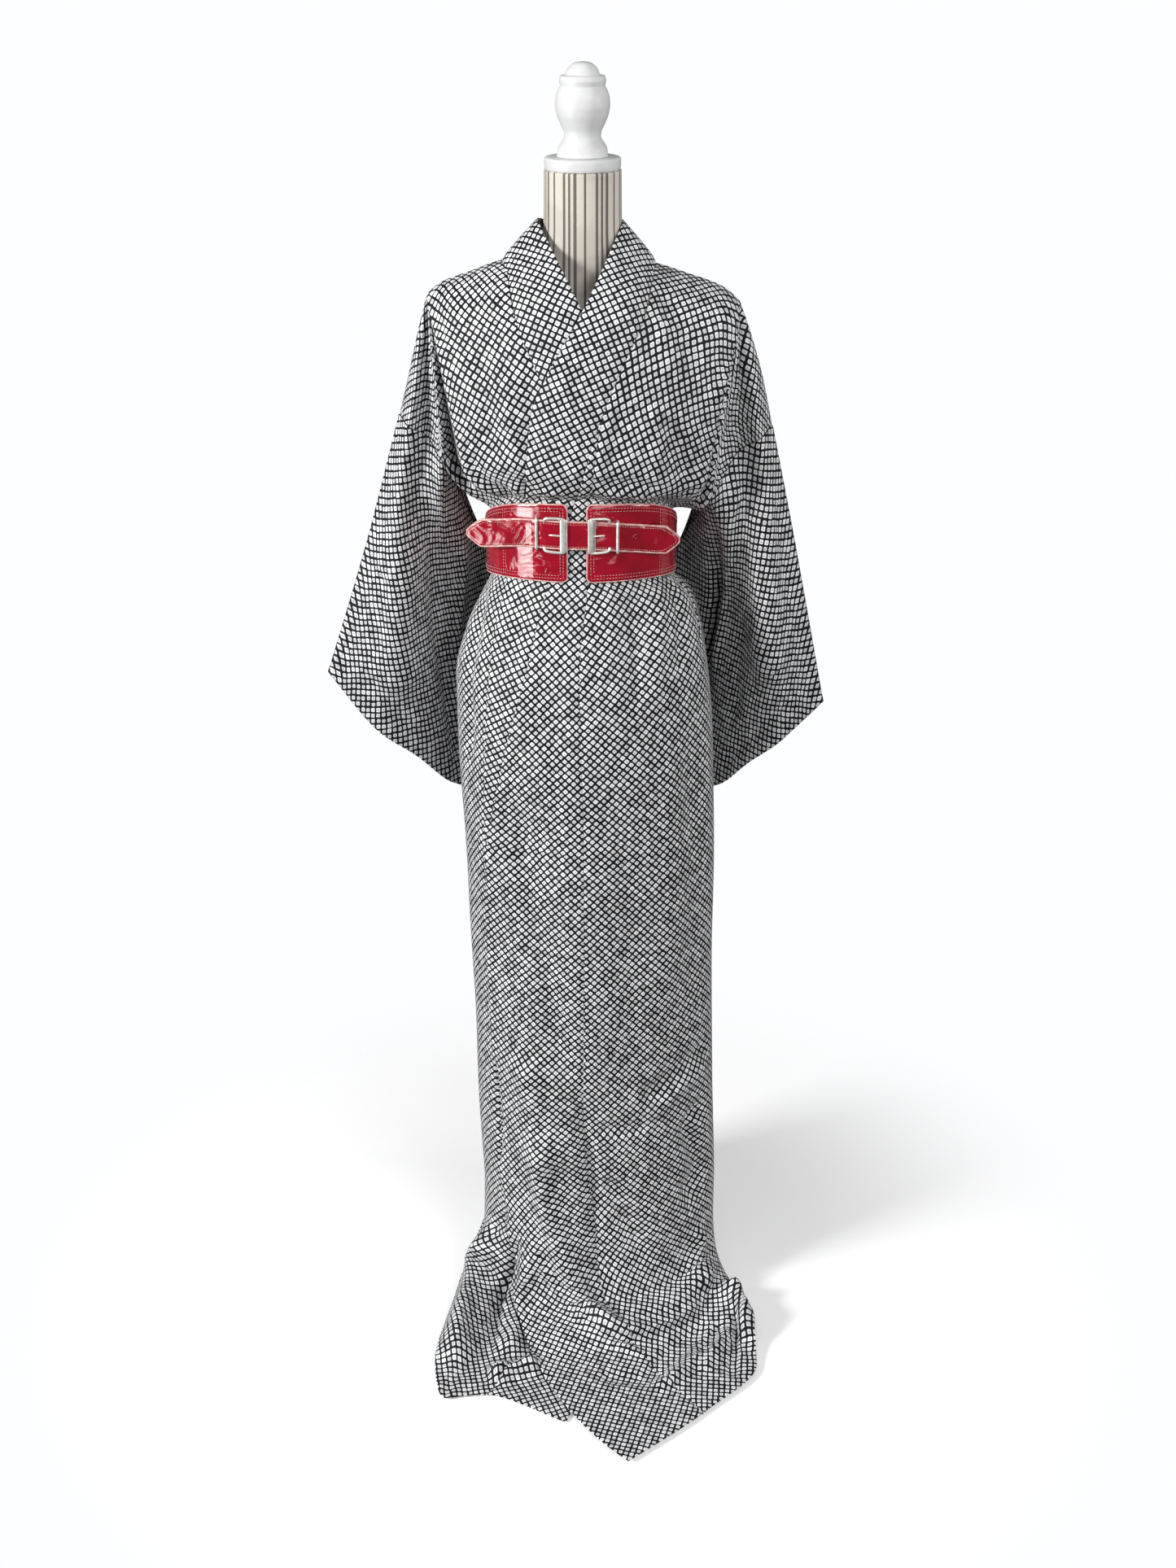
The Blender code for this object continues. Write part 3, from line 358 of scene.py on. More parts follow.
def lathe(name: str, profile: Rows, steps: int, detail: int) -> bpy.types.Object:
    """A turned piece with a smooth outline.

    Args:
        name: object name.
        profile: radius and height of the points that its outline runs through.
        steps: faces around.
        detail: points along the outline.

    Returns:
        The object.
    """
    long = run_length(np.array(profile))
    fine = np.unique(np.concatenate([long, np.linspace(0.0, long[-1], detail)]))
    radius, height = hermite(long, profile, fine).T
    angle = np.linspace(0.0, FULL_TURN, steps, endpoint=False)
    ring = np.stack([np.cos(angle), np.sin(angle), np.zeros(steps)], axis=-1)
    inner = radius > 1e-6
    points = [np.array([[0.0, 0.0, height[0]]]), np.array([[0.0, 0.0, height[-1]]])]
    points += [ring * r + np.array([0.0, 0.0, z]) for r, z in zip(radius[inner], height[inner])]
    numbers = numbered((int(inner.sum()), steps), 2)
    faces = grid_quads(numbers, closed=True)[:, ::-1].tolist()
    for k in range(steps):
        m = (k + 1) % steps
        faces += [(0, int(numbers[0, k]), int(numbers[0, m])), (1, int(numbers[-1, m]), int(numbers[-1, k]))]
    return make_object(name, np.concatenate(points), faces)


# Finishes


class Graph:
    """Adds and links the nodes of one tree."""

    def __init__(self, tree: bpy.types.NodeTree) -> None:
        """Start on an empty or new tree."""
        self.tree = tree

    def add(self, kind: str, inputs: dict | None = None, **settings: object) -> bpy.types.Node:
        """Add a node.

        Args:
            kind: Blender's node type without its prefix.
            inputs: socket name or number, and a value or a socket to link.
            **settings: properties of the node.

        Returns:
            The node.
        """
        node = self.tree.nodes.new("ShaderNode" + kind)
        for key, value in settings.items():
            setattr(node, key, value)
        for key, value in (inputs or {}).items():
            self.feed(node.inputs[key], value)
        return node

    def feed(self, socket: bpy.types.NodeSocket, value: object) -> None:
        """Link a socket, or set its value."""
        if isinstance(value, bpy.types.NodeSocket):
            self.tree.links.new(value, socket)
        else:
            socket.default_value = value

    def math(self, operation: str, first: object, second: object = 0.0) -> bpy.types.NodeSocket:
        """Result of one arithmetic step."""
        return self.add("Math", {0: first, 1: second}, operation=operation).outputs[0]

    def plus(self, first: object, second: object) -> bpy.types.NodeSocket:
        """Sum of two values."""
        return self.math("ADD", first, second)

    def minus(self, first: object, second: object) -> bpy.types.NodeSocket:
        """Difference of two values."""
        return self.math("SUBTRACT", first, second)

    def times(self, first: object, second: object) -> bpy.types.NodeSocket:
        """Product of two values."""
        return self.math("MULTIPLY", first, second)

    def vector(self, operation: str, first: object, second: object = None, scale: object = None) -> object:
        """Result of one vector step."""
        node = self.add("VectorMath", {0: first}, operation=operation)
        if second is not None:
            self.feed(node.inputs[1], second)
        if scale is not None:
            self.feed(node.inputs["Scale"], scale)
        return node.outputs["Value" if operation == "LENGTH" else "Vector"]

    def centred(self, colour: object, scale: float) -> bpy.types.NodeSocket:
        """Noise colour as a small shift about zero."""
        return self.vector("SCALE", self.vector("SUBTRACT", colour, (0.5, 0.5, 0.5)), scale=scale)

    def mix(self, factor: object, first: object, second: object) -> bpy.types.NodeSocket:
        """Colour between two others."""
        return self.add("Mix", {"Factor": factor, 6: first, 7: second}, data_type="RGBA").outputs[2]

    def span(self, value: object, low: float, high: float, start: float = 0.0, end: float = 1.0) -> object:
        """Smooth change from start to end while a value goes from low to high."""
        limits = {"Value": value, "To Min": start, "To Max": end, "From Min": low, "From Max": high}
        return self.add("MapRange", limits, interpolation_type="SMOOTHSTEP").outputs["Result"]

    def group(self, name: str, place: object, **values: float) -> object:
        """Outputs of a node group that is placed with its own values."""
        node = self.add("Group", {"Place": place, **values}, node_tree=bpy.data.node_groups[name])
        return node.outputs

    def ends(self) -> tuple[object, object]:
        """Sockets that a group takes its values from, and sockets that it puts its results out by."""
        return self.tree.nodes["Group Input"].outputs, self.tree.nodes["Group Output"].inputs


def open_group(name: str, inputs: dict[str, float], outputs: tuple[str, ...]) -> Graph | None:
    """Start a shader node group that takes a place and some values, or give None when it is built.

    Args:
        name: group name.
        inputs: names of the values with their defaults.
        outputs: names of the values that it puts out.

    Returns:
        The graph to fill, with its Group Input and Group Output in place.
    """
    if name in bpy.data.node_groups:
        return None
    tree = bpy.data.node_groups.new(name, "ShaderNodeTree")
    tree.interface.new_socket(name="Place", in_out="INPUT", socket_type="NodeSocketVector")
    for socket, value in inputs.items():
        made = tree.interface.new_socket(name=socket, in_out="INPUT", socket_type="NodeSocketFloat")
        made.default_value = value
    for socket in outputs:
        tree.interface.new_socket(name=socket, in_out="OUTPUT", socket_type="NodeSocketFloat")
    tree.nodes.new("NodeGroupInput")
    tree.nodes.new("NodeGroupOutput")
    return Graph(tree)


def tied_dot_cells() -> str:
    """Group that draws the small tied-dot squares of the cloth, set on the bias.

    Returns:
        The group's name. Its outputs are the square's cover, its centre dot, its tone with a painted shade that darkens
        it towards its middle as if puffed, and its height.
    """
    name = "Tied dot cells"
    graph = open_group(name, {"Pitch": 0.007, "Line": 0.2, "Dot": 0.1}, ("Cover", "Dot", "Tone_and_shade", "Height"))
    if graph is None:
        return name
    source, sink = graph.ends()
    wide = graph.add("TexNoise", {"Vector": source["Place"], "Scale": 30.0, "Detail": 1.0})
    fine = graph.add("TexNoise", {"Vector": source["Place"], "Scale": 330.0, "Detail": 1.0})
    sway = graph.centred(wide.outputs["Color"], 0.0016)
    fray = graph.centred(fine.outputs["Color"], 0.0008)
    place = graph.vector("ADD", graph.vector("ADD", source["Place"], sway), fray)
    bias = graph.add("VectorRotate", {"Vector": place, "Angle": math.radians(45.0)}, rotation_type="Z_AXIS")
    count = graph.vector("SCALE", bias.outputs[0], scale=graph.math("DIVIDE", 1.0, source["Pitch"]))
    cell = graph.vector("FLOOR", count)
    local = graph.vector("SUBTRACT", graph.vector("SUBTRACT", count, cell), (0.5, 0.5, 0.5))
    chance = graph.add("TexWhiteNoise", {"Vector": cell}, noise_dimensions="2D")
    local = graph.vector("ADD", local, graph.centred(chance.outputs["Color"], 0.09))
    flat = graph.add("SeparateXYZ", {0: graph.vector("ABSOLUTE", local)})
    other = graph.add("TexWhiteNoise", {"Vector": graph.vector("ADD", cell, (17.3, 5.1, 0.0))}, noise_dimensions="2D")
    sizes = graph.times(graph.minus(other.outputs["Value"], 0.5), 0.07)
    half = graph.minus(graph.plus(0.5 - 0.14, sizes), graph.times(source["Line"], 0.5))
    dx, dy = (graph.math("MAXIMUM", graph.minus(flat.outputs[axis], half), 0.0) for axis in ("X", "Y"))
    edge = graph.math("SQRT", graph.plus(graph.times(dx, dx), graph.times(dy, dy)))
    cover = graph.span(edge, 0.17, 0.11)
    flatten = graph.add("CombineXYZ", {"X": flat.outputs["X"], "Y": flat.outputs["Y"]})
    radius = graph.vector("LENGTH", flatten.outputs[0])
    dot = graph.minus(1.0, graph.span(graph.minus(radius, source["Dot"]), -0.05, 0.035))
    puff = graph.minus(1.0, graph.times(graph.times(radius, radius), 2.0))
    # painted shade: each square is drawn darker towards its middle, as if it were puffed up
    shade = graph.span(radius, 0.08, 0.42, 0.86, 1.0)
    graph.feed(sink["Cover"], cover)
    graph.feed(sink["Dot"], dot)
    graph.feed(sink["Tone_and_shade"], graph.times(shade, graph.plus(0.76, graph.times(other.outputs["Value"], 0.24))))
    graph.feed(sink["Height"], graph.minus(graph.times(cover, puff), graph.times(dot, 0.5)))
    return name


def woven_grain() -> str:
    """Group for crossing threads with slubs; its outputs are a shade around 1 and a height."""
    name = "Woven grain"
    graph = open_group(name, {"Thread": 0.0006, "Slub": 0.4}, ("Shade", "Height"))
    if graph is None:
        return name
    source, sink = graph.ends()
    count = graph.vector("SCALE", source["Place"], scale=graph.math("DIVIDE", FULL_TURN, source["Thread"]))
    crossed = graph.add("SeparateXYZ", {0: count})
    warp, weft = (graph.math("SINE", crossed.outputs[axis]) for axis in ("X", "Y"))
    weave = graph.times(graph.plus(warp, weft), 0.5)
    noise = graph.add("TexNoise", {"Vector": source["Place"], "Scale": 900.0, "Detail": 3.0})
    slub = graph.times(graph.minus(noise.outputs[0], 0.5), source["Slub"])
    height = graph.plus(graph.times(weave, 0.5), slub)
    graph.feed(sink["Height"], height)
    graph.feed(sink["Shade"], graph.plus(1.0, graph.times(height, 0.16)))
    return name


def soft_patches() -> str:
    """Group for slow uneven patches, as from handling; its output runs from 0 to 1."""
    name = "Soft patches"
    graph = open_group(name, {"Scale": 20.0, "Sharp": 0.2}, ("Patch",))
    if graph is None:
        return name
    source, sink = graph.ends()
    noise = graph.add("TexNoise", {"Vector": source["Place"], "Scale": source["Scale"], "Detail": 3.0})
    low = graph.plus(0.3, source["Sharp"])
    high = graph.minus(0.7, source["Sharp"])
    graph.feed(sink["Patch"], graph.span(noise.outputs[0], low, high))
    return name


class Coat:
    """A material that is being built: its graph, its shader and the place that its patterns are read at."""

    def __init__(self, name: str, cut: bool = False) -> None:
        """Start a material, patterned along the cut of the cloth or else through the solid piece."""
        self.made = bpy.data.materials.new(name)
        self.made.use_nodes = True
        self.graph = Graph(self.made.node_tree)
        self.shader = self.made.node_tree.nodes["Principled BSDF"]
        self.place = (self.graph.add("UVMap", uv_map="cut").outputs[0] if cut
                      else self.graph.add("TexCoord").outputs["Object"])

    def patches(self, scale: float, sharp: float) -> bpy.types.NodeSocket:
        """Mask of slow uneven patches."""
        return self.graph.group(soft_patches(), self.place, Scale=scale, Sharp=sharp)[0]

    def grain(self, thread: float, slub: float) -> object:
        """Shade and height of crossing threads."""
        return self.graph.group(woven_grain(), self.place, Thread=thread, Slub=slub)

    def texture(self, kind: str, place: object = None, **values: float) -> bpy.types.NodeSocket:
        """First output of one of Blender's own textures."""
        return self.graph.add(kind, {"Vector": place or self.place, **values}).outputs[0]

    def brushed(self, stretch: tuple[float, float, float], detail: float) -> bpy.types.NodeSocket:
        """Noise drawn out into fine strokes."""
        drawn = self.graph.add("Mapping", {"Vector": self.place, "Scale": stretch}).outputs[0]
        return self.texture("TexNoise", drawn, Scale=1.0, Detail=detail)

    def colour(self, value: object) -> None:
        """Feed the base colour."""
        self.graph.feed(self.shader.inputs["Base Color"], value)

    def roughness(self, value: object) -> None:
        """Feed the roughness."""
        self.graph.feed(self.shader.inputs["Roughness"], value)

    def relief(self, height: object, strength: float, distance: float) -> None:
        """Feed the normal from a height."""
        bump = self.graph.add("Bump", {"Strength": strength, "Distance": distance, "Height": height})
        self.graph.feed(self.shader.inputs["Normal"], bump.outputs[0])

    def done(self, **values: object) -> bpy.types.Material:
        """Set the shader's plain values, with underscores for spaces, and give the material."""
        for key, value in values.items():
            self.shader.inputs[key.replace("_", " ")].default_value = value
        return self.made


@dataclass(frozen=True)
class TiedDotSilk:
    """Soft black and white silk crepe with tied-dot squares on the bias."""

    name: str = "tied_dot_silk"
    pitch: float = 0.007
    line: float = 0.325
    dot: float = 0.085
    white: Colour = (0.9, 0.905, 0.92, 1.0)
    black: Colour = (0.004, 0.004, 0.006, 1.0)
    centre: Colour = (0.16, 0.165, 0.18, 1.0)

    def build(self) -> bpy.types.Material:
        """Build the material."""
        coat = Coat(self.name, cut=True)
        graph = coat.graph
        cells = graph.group(tied_dot_cells(), coat.place, Pitch=self.pitch, Line=self.line, Dot=self.dot)
        grain = coat.grain(0.00055, 0.9)
        worn = graph.span(coat.patches(9.0, 0.05), 0.0, 1.0, 0.93, 1.0)
        # the squares' tone carries their painted shade towards each middle, as well as their own uneven tone
        shaded_tone = graph.times(graph.times(cells["Tone_and_shade"], grain["Shade"]), worn)
        shade = graph.vector("SCALE", self.white[:3], scale=shaded_tone)
        dyed = graph.mix(graph.times(cells["Dot"], 0.85), shade, self.centre)
        coat.colour(graph.mix(cells["Cover"], self.black, dyed))
        coat.relief(graph.plus(graph.times(cells["Height"], 0.75), graph.times(grain["Height"], 0.22)), 0.55, 0.0006)
        return coat.done(Roughness=0.62, Sheen_Weight=0.05, Sheen_Roughness=0.45, Specular_IOR_Level=0.22)


@dataclass(frozen=True)
class PatentLeather:
    """Crimson patent leather with a glassy coat, slow dents and fine cracks."""

    name: str = "patent_leather"
    red: Colour = (0.4, 0.003, 0.02, 1.0)
    deep: Colour = (0.27, 0.002, 0.013, 1.0)

    def build(self) -> bpy.types.Material:
        """Build the material."""
        coat = Coat(self.name, cut=True)
        graph = coat.graph
        patch = coat.patches(26.0, 0.0)
        coat.colour(graph.mix(patch, self.red, self.deep))
        dents = coat.texture("TexNoise", Scale=34.0, Detail=2.0, Distortion=0.6)
        cracks = coat.texture("TexVoronoi", Scale=1100.0)
        coat.relief(graph.plus(dents, graph.times(cracks, 0.01)), 0.8, 0.0055)
        coat.roughness(graph.span(patch, 0.0, 1.0, 0.07, 0.16))
        return coat.done(Specular_IOR_Level=0.6, Coat_Weight=1.0, Coat_Roughness=0.03)


@dataclass(frozen=True)
class EdgeBinding:
    """Pale pink turned edge of the leather, a little scuffed."""

    name: str = "edge_binding"
    pale: Colour = (0.76, 0.53, 0.48, 1.0)
    scuffed: Colour = (0.55, 0.24, 0.22, 1.0)

    def build(self) -> bpy.types.Material:
        """Build the material."""
        coat = Coat(self.name, cut=True)
        coat.colour(coat.graph.mix(coat.patches(120.0, 0.1), self.pale, self.scuffed))
        coat.relief(coat.grain(0.0009, 0.8)["Height"], 0.3, 0.0003)
        return coat.done(Roughness=0.45)


@dataclass(frozen=True)
class SewingThread:
    """Waxed pale thread of the belt's stitching."""

    name: str = "sewing_thread"
    pale: Colour = (0.64, 0.4, 0.37, 1.0)
    shaded: Colour = (0.46, 0.21, 0.2, 1.0)

    def build(self) -> bpy.types.Material:
        """Build the material."""
        coat = Coat(self.name)
        coat.colour(coat.graph.mix(coat.patches(240.0, 0.1), self.pale, self.shaded))
        twist = coat.graph.add("TexWave", {"Vector": coat.place, "Scale": 1400.0, "Distortion": 2.0},
                                bands_direction="DIAGONAL")
        coat.relief(twist.outputs[1], 0.4, 0.0001)
        return coat.done(Roughness=0.6)


@dataclass(frozen=True)
class BrushedNickel:
    """Soft nickel plating with fine brushing and a few dull spots."""

    name: str = "brushed_nickel"
    metal: Colour = (0.82, 0.8, 0.76, 1.0)
    dull: Colour = (0.58, 0.56, 0.52, 1.0)

    def build(self) -> bpy.types.Material:
        """Build the material."""
        coat = Coat(self.name)
        graph = coat.graph
        coat.colour(graph.mix(graph.times(coat.patches(160.0, 0.05), 0.6), self.metal, self.dull))
        brush = coat.brushed((6000.0, 6000.0, 180.0), 2.0)
        coat.roughness(graph.span(brush, 0.3, 0.7, 0.28, 0.42))
        coat.relief(brush, 0.12, 0.0001)
        return coat.done(Metallic=0.6)


@dataclass(frozen=True)
class StripedLinen:
    """Cream linen ticking with dark stripes of mixed widths."""

    name: str = "striped_linen"
    cream: Colour = (0.67, 0.62, 0.54, 1.0)
    stripe: Colour = (0.085, 0.075, 0.07, 1.0)
    repeat: float = 0.0375
    stripes: Rows = ((0.1, 0.003), (0.265, 0.0026), (0.44, 0.0036), (0.74, 0.0025))

    def build(self) -> bpy.types.Material:
        """Build the material."""
        coat = Coat(self.name, cut=True)
        graph = coat.graph
        grain = coat.grain(0.0008, 1.2)
        patch = coat.patches(14.0, 0.1)
        wobble = graph.times(graph.minus(coat.texture("TexNoise", Scale=700.0, Detail=1.0), 0.5), 0.0005)
        moved = graph.plus(graph.add("SeparateXYZ", {0: coat.place}).outputs["X"], wobble)
        part = graph.math("FRACT", graph.math("DIVIDE", graph.plus(moved, 1.0), self.repeat))
        lines = 0.0
        for centre, width in self.stripes:
            away = graph.math("ABSOLUTE", graph.minus(part, centre))
            half = 0.5 * width / self.repeat
            lines = graph.math("MAXIMUM", lines, graph.span(away, half + 0.008, half - 0.006))
        worn = graph.times(grain["Shade"], graph.span(patch, 0.0, 1.0, 0.88, 1.0))
        cream = graph.vector("SCALE", self.cream[:3], scale=worn)
        coat.colour(graph.mix(graph.times(lines, 0.9), cream, self.stripe))
        coat.relief(grain["Height"], 0.5, 0.0004)
        return coat.done(Roughness=0.85, Sheen_Weight=0.1)


@dataclass(frozen=True)
class BrushedPaint:
    """White satin paint with brush marks and small rubbed spots."""

    name: str = "white_paint"
    white: Colour = (0.67, 0.68, 0.68, 1.0)
    rubbed: Colour = (0.6, 0.58, 0.54, 1.0)

    def build(self) -> bpy.types.Material:
        """Build the material."""
        coat = Coat(self.name)
        graph = coat.graph
        coat.colour(graph.mix(graph.times(coat.patches(70.0, 0.12), 0.22), self.white, self.rubbed))
        marks = coat.brushed((60.0, 60.0, 900.0), 3.0)
        coat.roughness(graph.span(marks, 0.2, 0.8, 0.32, 0.5))
        coat.relief(marks, 0.15, 0.0004)
        return coat.done(Specular_IOR_Level=0.5)


@dataclass(frozen=True)
class PlainFloor:
    """Matt pale studio floor that fades out into the white round it."""

    name: str = "studio_floor"
    pale: Colour = (0.96, 0.96, 0.965, 1.0)
    fade: tuple[float, float] = (0.3, 0.8)

    def build(self) -> bpy.types.Material:
        """Build the material."""
        coat = Coat(self.name)
        away = coat.graph.vector("LENGTH", coat.place)
        coat.graph.feed(coat.shader.inputs["Alpha"], coat.graph.span(away, *self.fade, 1.0, 0.0))
        return coat.done(Base_Color=self.pale, Roughness=0.9, Specular_IOR_Level=0.1, Emission_Color=self.pale,
                          Emission_Strength=0.2)


class Finish(Enum):
    """Finishes that a piece may have."""

    SILK = TiedDotSilk()
    LEATHER = PatentLeather()
    BINDING = EdgeBinding()
    THREAD = SewingThread()
    NICKEL = BrushedNickel()
    LINEN = StripedLinen()
    PAINT = BrushedPaint()
    FLOOR = PlainFloor()


class Wardrobe:
    """Gives pieces their finish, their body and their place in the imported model."""

    def __init__(self) -> None:
        """Start with no material built."""
        self.built: dict[Finish, bpy.types.Material] = {}

    def material(self, finish: Finish) -> bpy.types.Material:
        """Material of a finish, built once."""
        if finish not in self.built:
            self.built[finish] = finish.value.build()
        return self.built[finish]

    def dress(self, piece: bpy.types.Object, finish: Finish, slot: str, *nodes: str) -> bpy.types.Object:
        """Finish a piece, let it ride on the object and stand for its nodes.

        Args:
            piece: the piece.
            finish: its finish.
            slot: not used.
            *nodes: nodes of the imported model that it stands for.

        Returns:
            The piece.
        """
        piece.data.materials.clear()
        piece.data.materials.append(self.material(finish))
        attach(piece, "root")
        if nodes:
            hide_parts(*nodes)
        log.info("%s: %d faces, %s", piece.name, len(piece.data.polygons), finish.value.name)
        return piece


# Drape


class Face(Enum):
    """Side of the garment."""

    FRONT = "front"
    BACK = "back"


@dataclass(frozen=True)
class Crease:
    """A soft trough (negative height) or ridge that is laid on the cloth.

    The path has places across and rows down on a wall, shares and drops on a sleeve, x and y on the floor behind,
    or x, y and z low in front.
    """

    path: Array
    height: float
    width: float
    lean: float
    face: Face

    @property
    def line(self) -> Array:
        """Fine points along the path."""
        return curve(self.path, 6 * len(self.path))


def creases(*rows: tuple[float, ...], columns: int = 2, scale: float = 1.0,
            face: Face = Face.FRONT) -> tuple[Crease, ...]:
    """Creases from rows of numbers.

    Args:
        *rows: height and width in tenths of a millimetre, lean, and then the places along the path.
        columns: how many numbers a place has.
        scale: what the numbers of a place are divided by.
        face: side of the garment.

    Returns:
        The creases.
    """
    return tuple(Crease(np.reshape(path, (-1, columns)) / scale, height / 10000.0, width / 10000.0, lean, face)
                 for height, width, lean, *path in rows)


@dataclass(frozen=True)
class Drape:
    """The surface that the kimono hangs on, with its sizes."""

    body_span: float = 0.31
    shoulder_span: float = 0.175
    armhole: float = 0.2
    layer: float = 0.0042
    shoulder_bow: float = 0.004
    roundness: float = 0.92
    ridge_right: Rows = (
        (0.0, 0.0, -0.05, 1.394), (0.16, 0.05, -0.046, 1.393), (0.29, 0.0925, 0.0, 1.385), (0.42, 0.128, 0.0, 1.3735),
        (0.52, 0.162, 0.0, 1.361), (0.175 / 0.31, 0.1785, 0.0, 1.347),
    )
    ridge_left: Rows = (
        (0.0, 0.0, -0.05, 1.394), (0.16, 0.05, -0.046, 1.392), (0.29, 0.085, 0.0, 1.382), (0.42, 0.122, 0.0, 1.369),
        (0.52, 0.159, 0.0, 1.355), (0.175 / 0.31, 0.1795, 0.0, 1.339),
    )
    back_neck: Rows = ((0.0, 0.0, 0.066, 1.366), (0.16, 0.56, 0.052, 1.374), (0.29, 1.0, 0.0, 0.0))
    rim_left: Rows = (
        (0.0, 0.223, 0.0, 1.196, 0.0, 1.196), (20.0, 0.205, -0.033, 1.186, 0.03, 1.186),
        (38.0, 0.183, -0.014, 1.168, 0.02, 1.172), (56.0, 0.15, -0.041, 1.12, 0.046, 1.14),
        (72.0, 0.14, -0.024, 1.13, 0.044, 1.15), (90.0, 0.139, -0.066, 1.15, 0.072, 1.16),
    )
    rim_right: Rows = (
        (0.0, 0.2155, 0.0, 1.209, 0.0, 1.209), (20.0, 0.201, -0.032, 1.2, 0.03, 1.199),
        (38.0, 0.184, -0.014, 1.187, 0.02, 1.184), (56.0, 0.163, -0.04, 1.163, 0.046, 1.165),
        (72.0, 0.15, -0.018, 1.163, 0.044, 1.163), (90.0, 0.14, -0.066, 1.165, 0.072, 1.165),
    )
    ring_columns: tuple[str, ...] = ("row", "front_z", "side_z", "left", "right", "front", "back")
    rings: Rows = (
        (1.0, 1.165, 1.16, 0.14, 0.14, 0.104, 0.102), (1.5, 1.142, 1.118, 0.131, 0.129, 0.096, 0.096),
        (2.0, 1.128, 1.089, 0.1045, 0.109, 0.085, 0.086), (3.0, 1.027, 1.014, 0.1045, 0.109, 0.085, 0.086),
        (3.05, 0.996, 0.99, 0.129, 0.121, 0.093, 0.098), (3.12, 0.945, 0.943, 0.145, 0.143, 0.106, 0.114),
        (3.2, 0.885, 0.885, 0.155, 0.157, 0.118, 0.126), (3.3, 0.8, 0.8, 0.163, 0.156, 0.122, 0.132),
        (3.45, 0.66, 0.66, 0.167, 0.152, 0.122, 0.135), (3.7, 0.42, 0.42, 0.171, 0.145, 0.125, 0.138),
        (3.9, 0.23, 0.23, 0.179, 0.141, 0.129, 0.143), (4.0, 0.14, 0.14, 0.1815, 0.138, 0.133, 0.147),
    )

    @property
    def tip(self) -> float:
        """Place across of the form's shoulder tip."""
        return self.shoulder_span / self.body_span

    def rim_point(self, angle: Array, side: float, face: Face) -> Array:
        """Outer rim of the cloth hung from the shoulder tip, at an angle of the cut in degrees."""
        keys, values = table(self.rim_left if side > 0 else self.rim_right)
        point = hermite(keys, values[:, (0, 1, 2) if face is Face.FRONT else (0, 3, 4)], angle)
        point[..., 0] *= side
        return point

    def ridge_point(self, across: Array, side: float, face: Face) -> Array:
        """Point of the shoulder ridge; behind, it is the back neckline up to the collar's side seam."""
        keys, values = table(self.ridge_left if side > 0 else self.ridge_right)
        point = hermite(keys, values, across)
        if face is Face.BACK:
            neck_keys, neck_values = table(self.back_neck)
            neck_values[:, 0] *= values[2, 0]
            neck_values[2] = values[2]
            neck = hermite(neck_keys, neck_values, across)
            point = np.where((across < neck_keys[-1])[..., None], neck, point)
        point[..., 0] *= side
        return point

    def chest_point(self, across: Array, side: float, face: Face) -> Array:
        """Point of the armhole row between the centre line and the chest's outer edge."""
        rim = self.rim_point(np.full_like(across, 90.0), side, face)
        share = np.clip(across / self.tip, 0.0, 1.0)
        first = dict(zip(self.ring_columns, self.rings[0]))
        centre = np.array((0.0, -first["front"] if face is Face.FRONT else first["back"], first["front_z"]))
        point = centre + (rim - centre) * share[..., None]
        point[..., 1] = centre[1] + (rim[..., 1] - centre[1]) * share**2.3
        return point

    def swelling(self, share: Array) -> Array:
        """How soon the cloth swells out on its way down from the shoulder."""
        return np.sin(0.5 * math.pi * np.clip(share / 0.78, 0.0, 1.0) ** 0.62)

    def shoulder_point(self, across: Array, row: Array, side: float, face: Face) -> Array:
        """Drape above the armhole row: a rounded chest, and a fan of folds hung from the shoulder tip."""
        down = np.clip(row, 0.0, 1.0)
        lift = self.swelling(down)
        chest_across = np.minimum(across, self.tip)
        top = self.ridge_point(chest_across, side, face)
        low = self.chest_point(chest_across, side, face)
        chest = top + (low - top) * down[..., None]
        chest[..., 1] = top[..., 1] + (low[..., 1] - top[..., 1]) * lift
        chest[..., 2] = top[..., 2] + (low[..., 2] - top[..., 2]) * down**1.15

        out = np.maximum(across - self.tip, 0.0) * self.body_span
        drop = down * self.armhole
        angle = np.degrees(np.arctan2(drop, out))
        cosine, sine = (np.maximum(turn(np.radians(angle)), 1e-9) for turn in (np.cos, np.sin))
        limit = np.minimum((self.body_span - self.shoulder_span) / cosine, self.armhole / sine)
        share = np.clip(np.hypot(out, drop) / limit, 0.0, 1.0)
        tip = self.ridge_point(np.full_like(across, self.tip), side, face)
        rim = self.rim_point(angle, side, face)
        steep = ease(40.0, 90.0, angle)
        fan = tip + (rim - tip) * share[..., None]
        if side > 0:
            fan[..., 0] += self.shoulder_bow * np.sin(math.pi * share) * (1.0 - ease(0.0, 40.0, angle))
        fan[..., 1] = tip[..., 1] + (rim[..., 1] - tip[..., 1]) * (share + (self.swelling(share) - share) * steep)
        fan[..., 2] = tip[..., 2] + (rim[..., 2] - tip[..., 2]) * (share + (share**1.15 - share) * steep)
        return np.where((across > self.tip)[..., None], fan, chest)

    def ring_point(self, across: Array, row: Array, side: float, face: Face) -> Array:
        """Point of the rings from the armhole row to the end of the skirt."""
        keys, values = table(self.rings)
        ring = dict(zip(self.ring_columns[1:], np.moveaxis(hermite(keys, values, row), -1, 0)))
        width = ring[SIDE_NAMES[side]]
        front = face is Face.FRONT
        depth = -ring["front"] if front else ring["back"]
        angle = across * 0.5 * math.pi
        turn = np.cos(angle)
        share = 1.0 - (1.0 - turn) ** 1.5
        x = side * width * np.sin(angle)
        y = depth * np.sign(turn) * np.abs(turn) ** self.roundness
        z = ring["side_z"] + (share * (ring["front_z"] - ring["side_z"]) if front else 0.0)
        return np.stack([x, y, z + 0.0 * x], axis=-1)

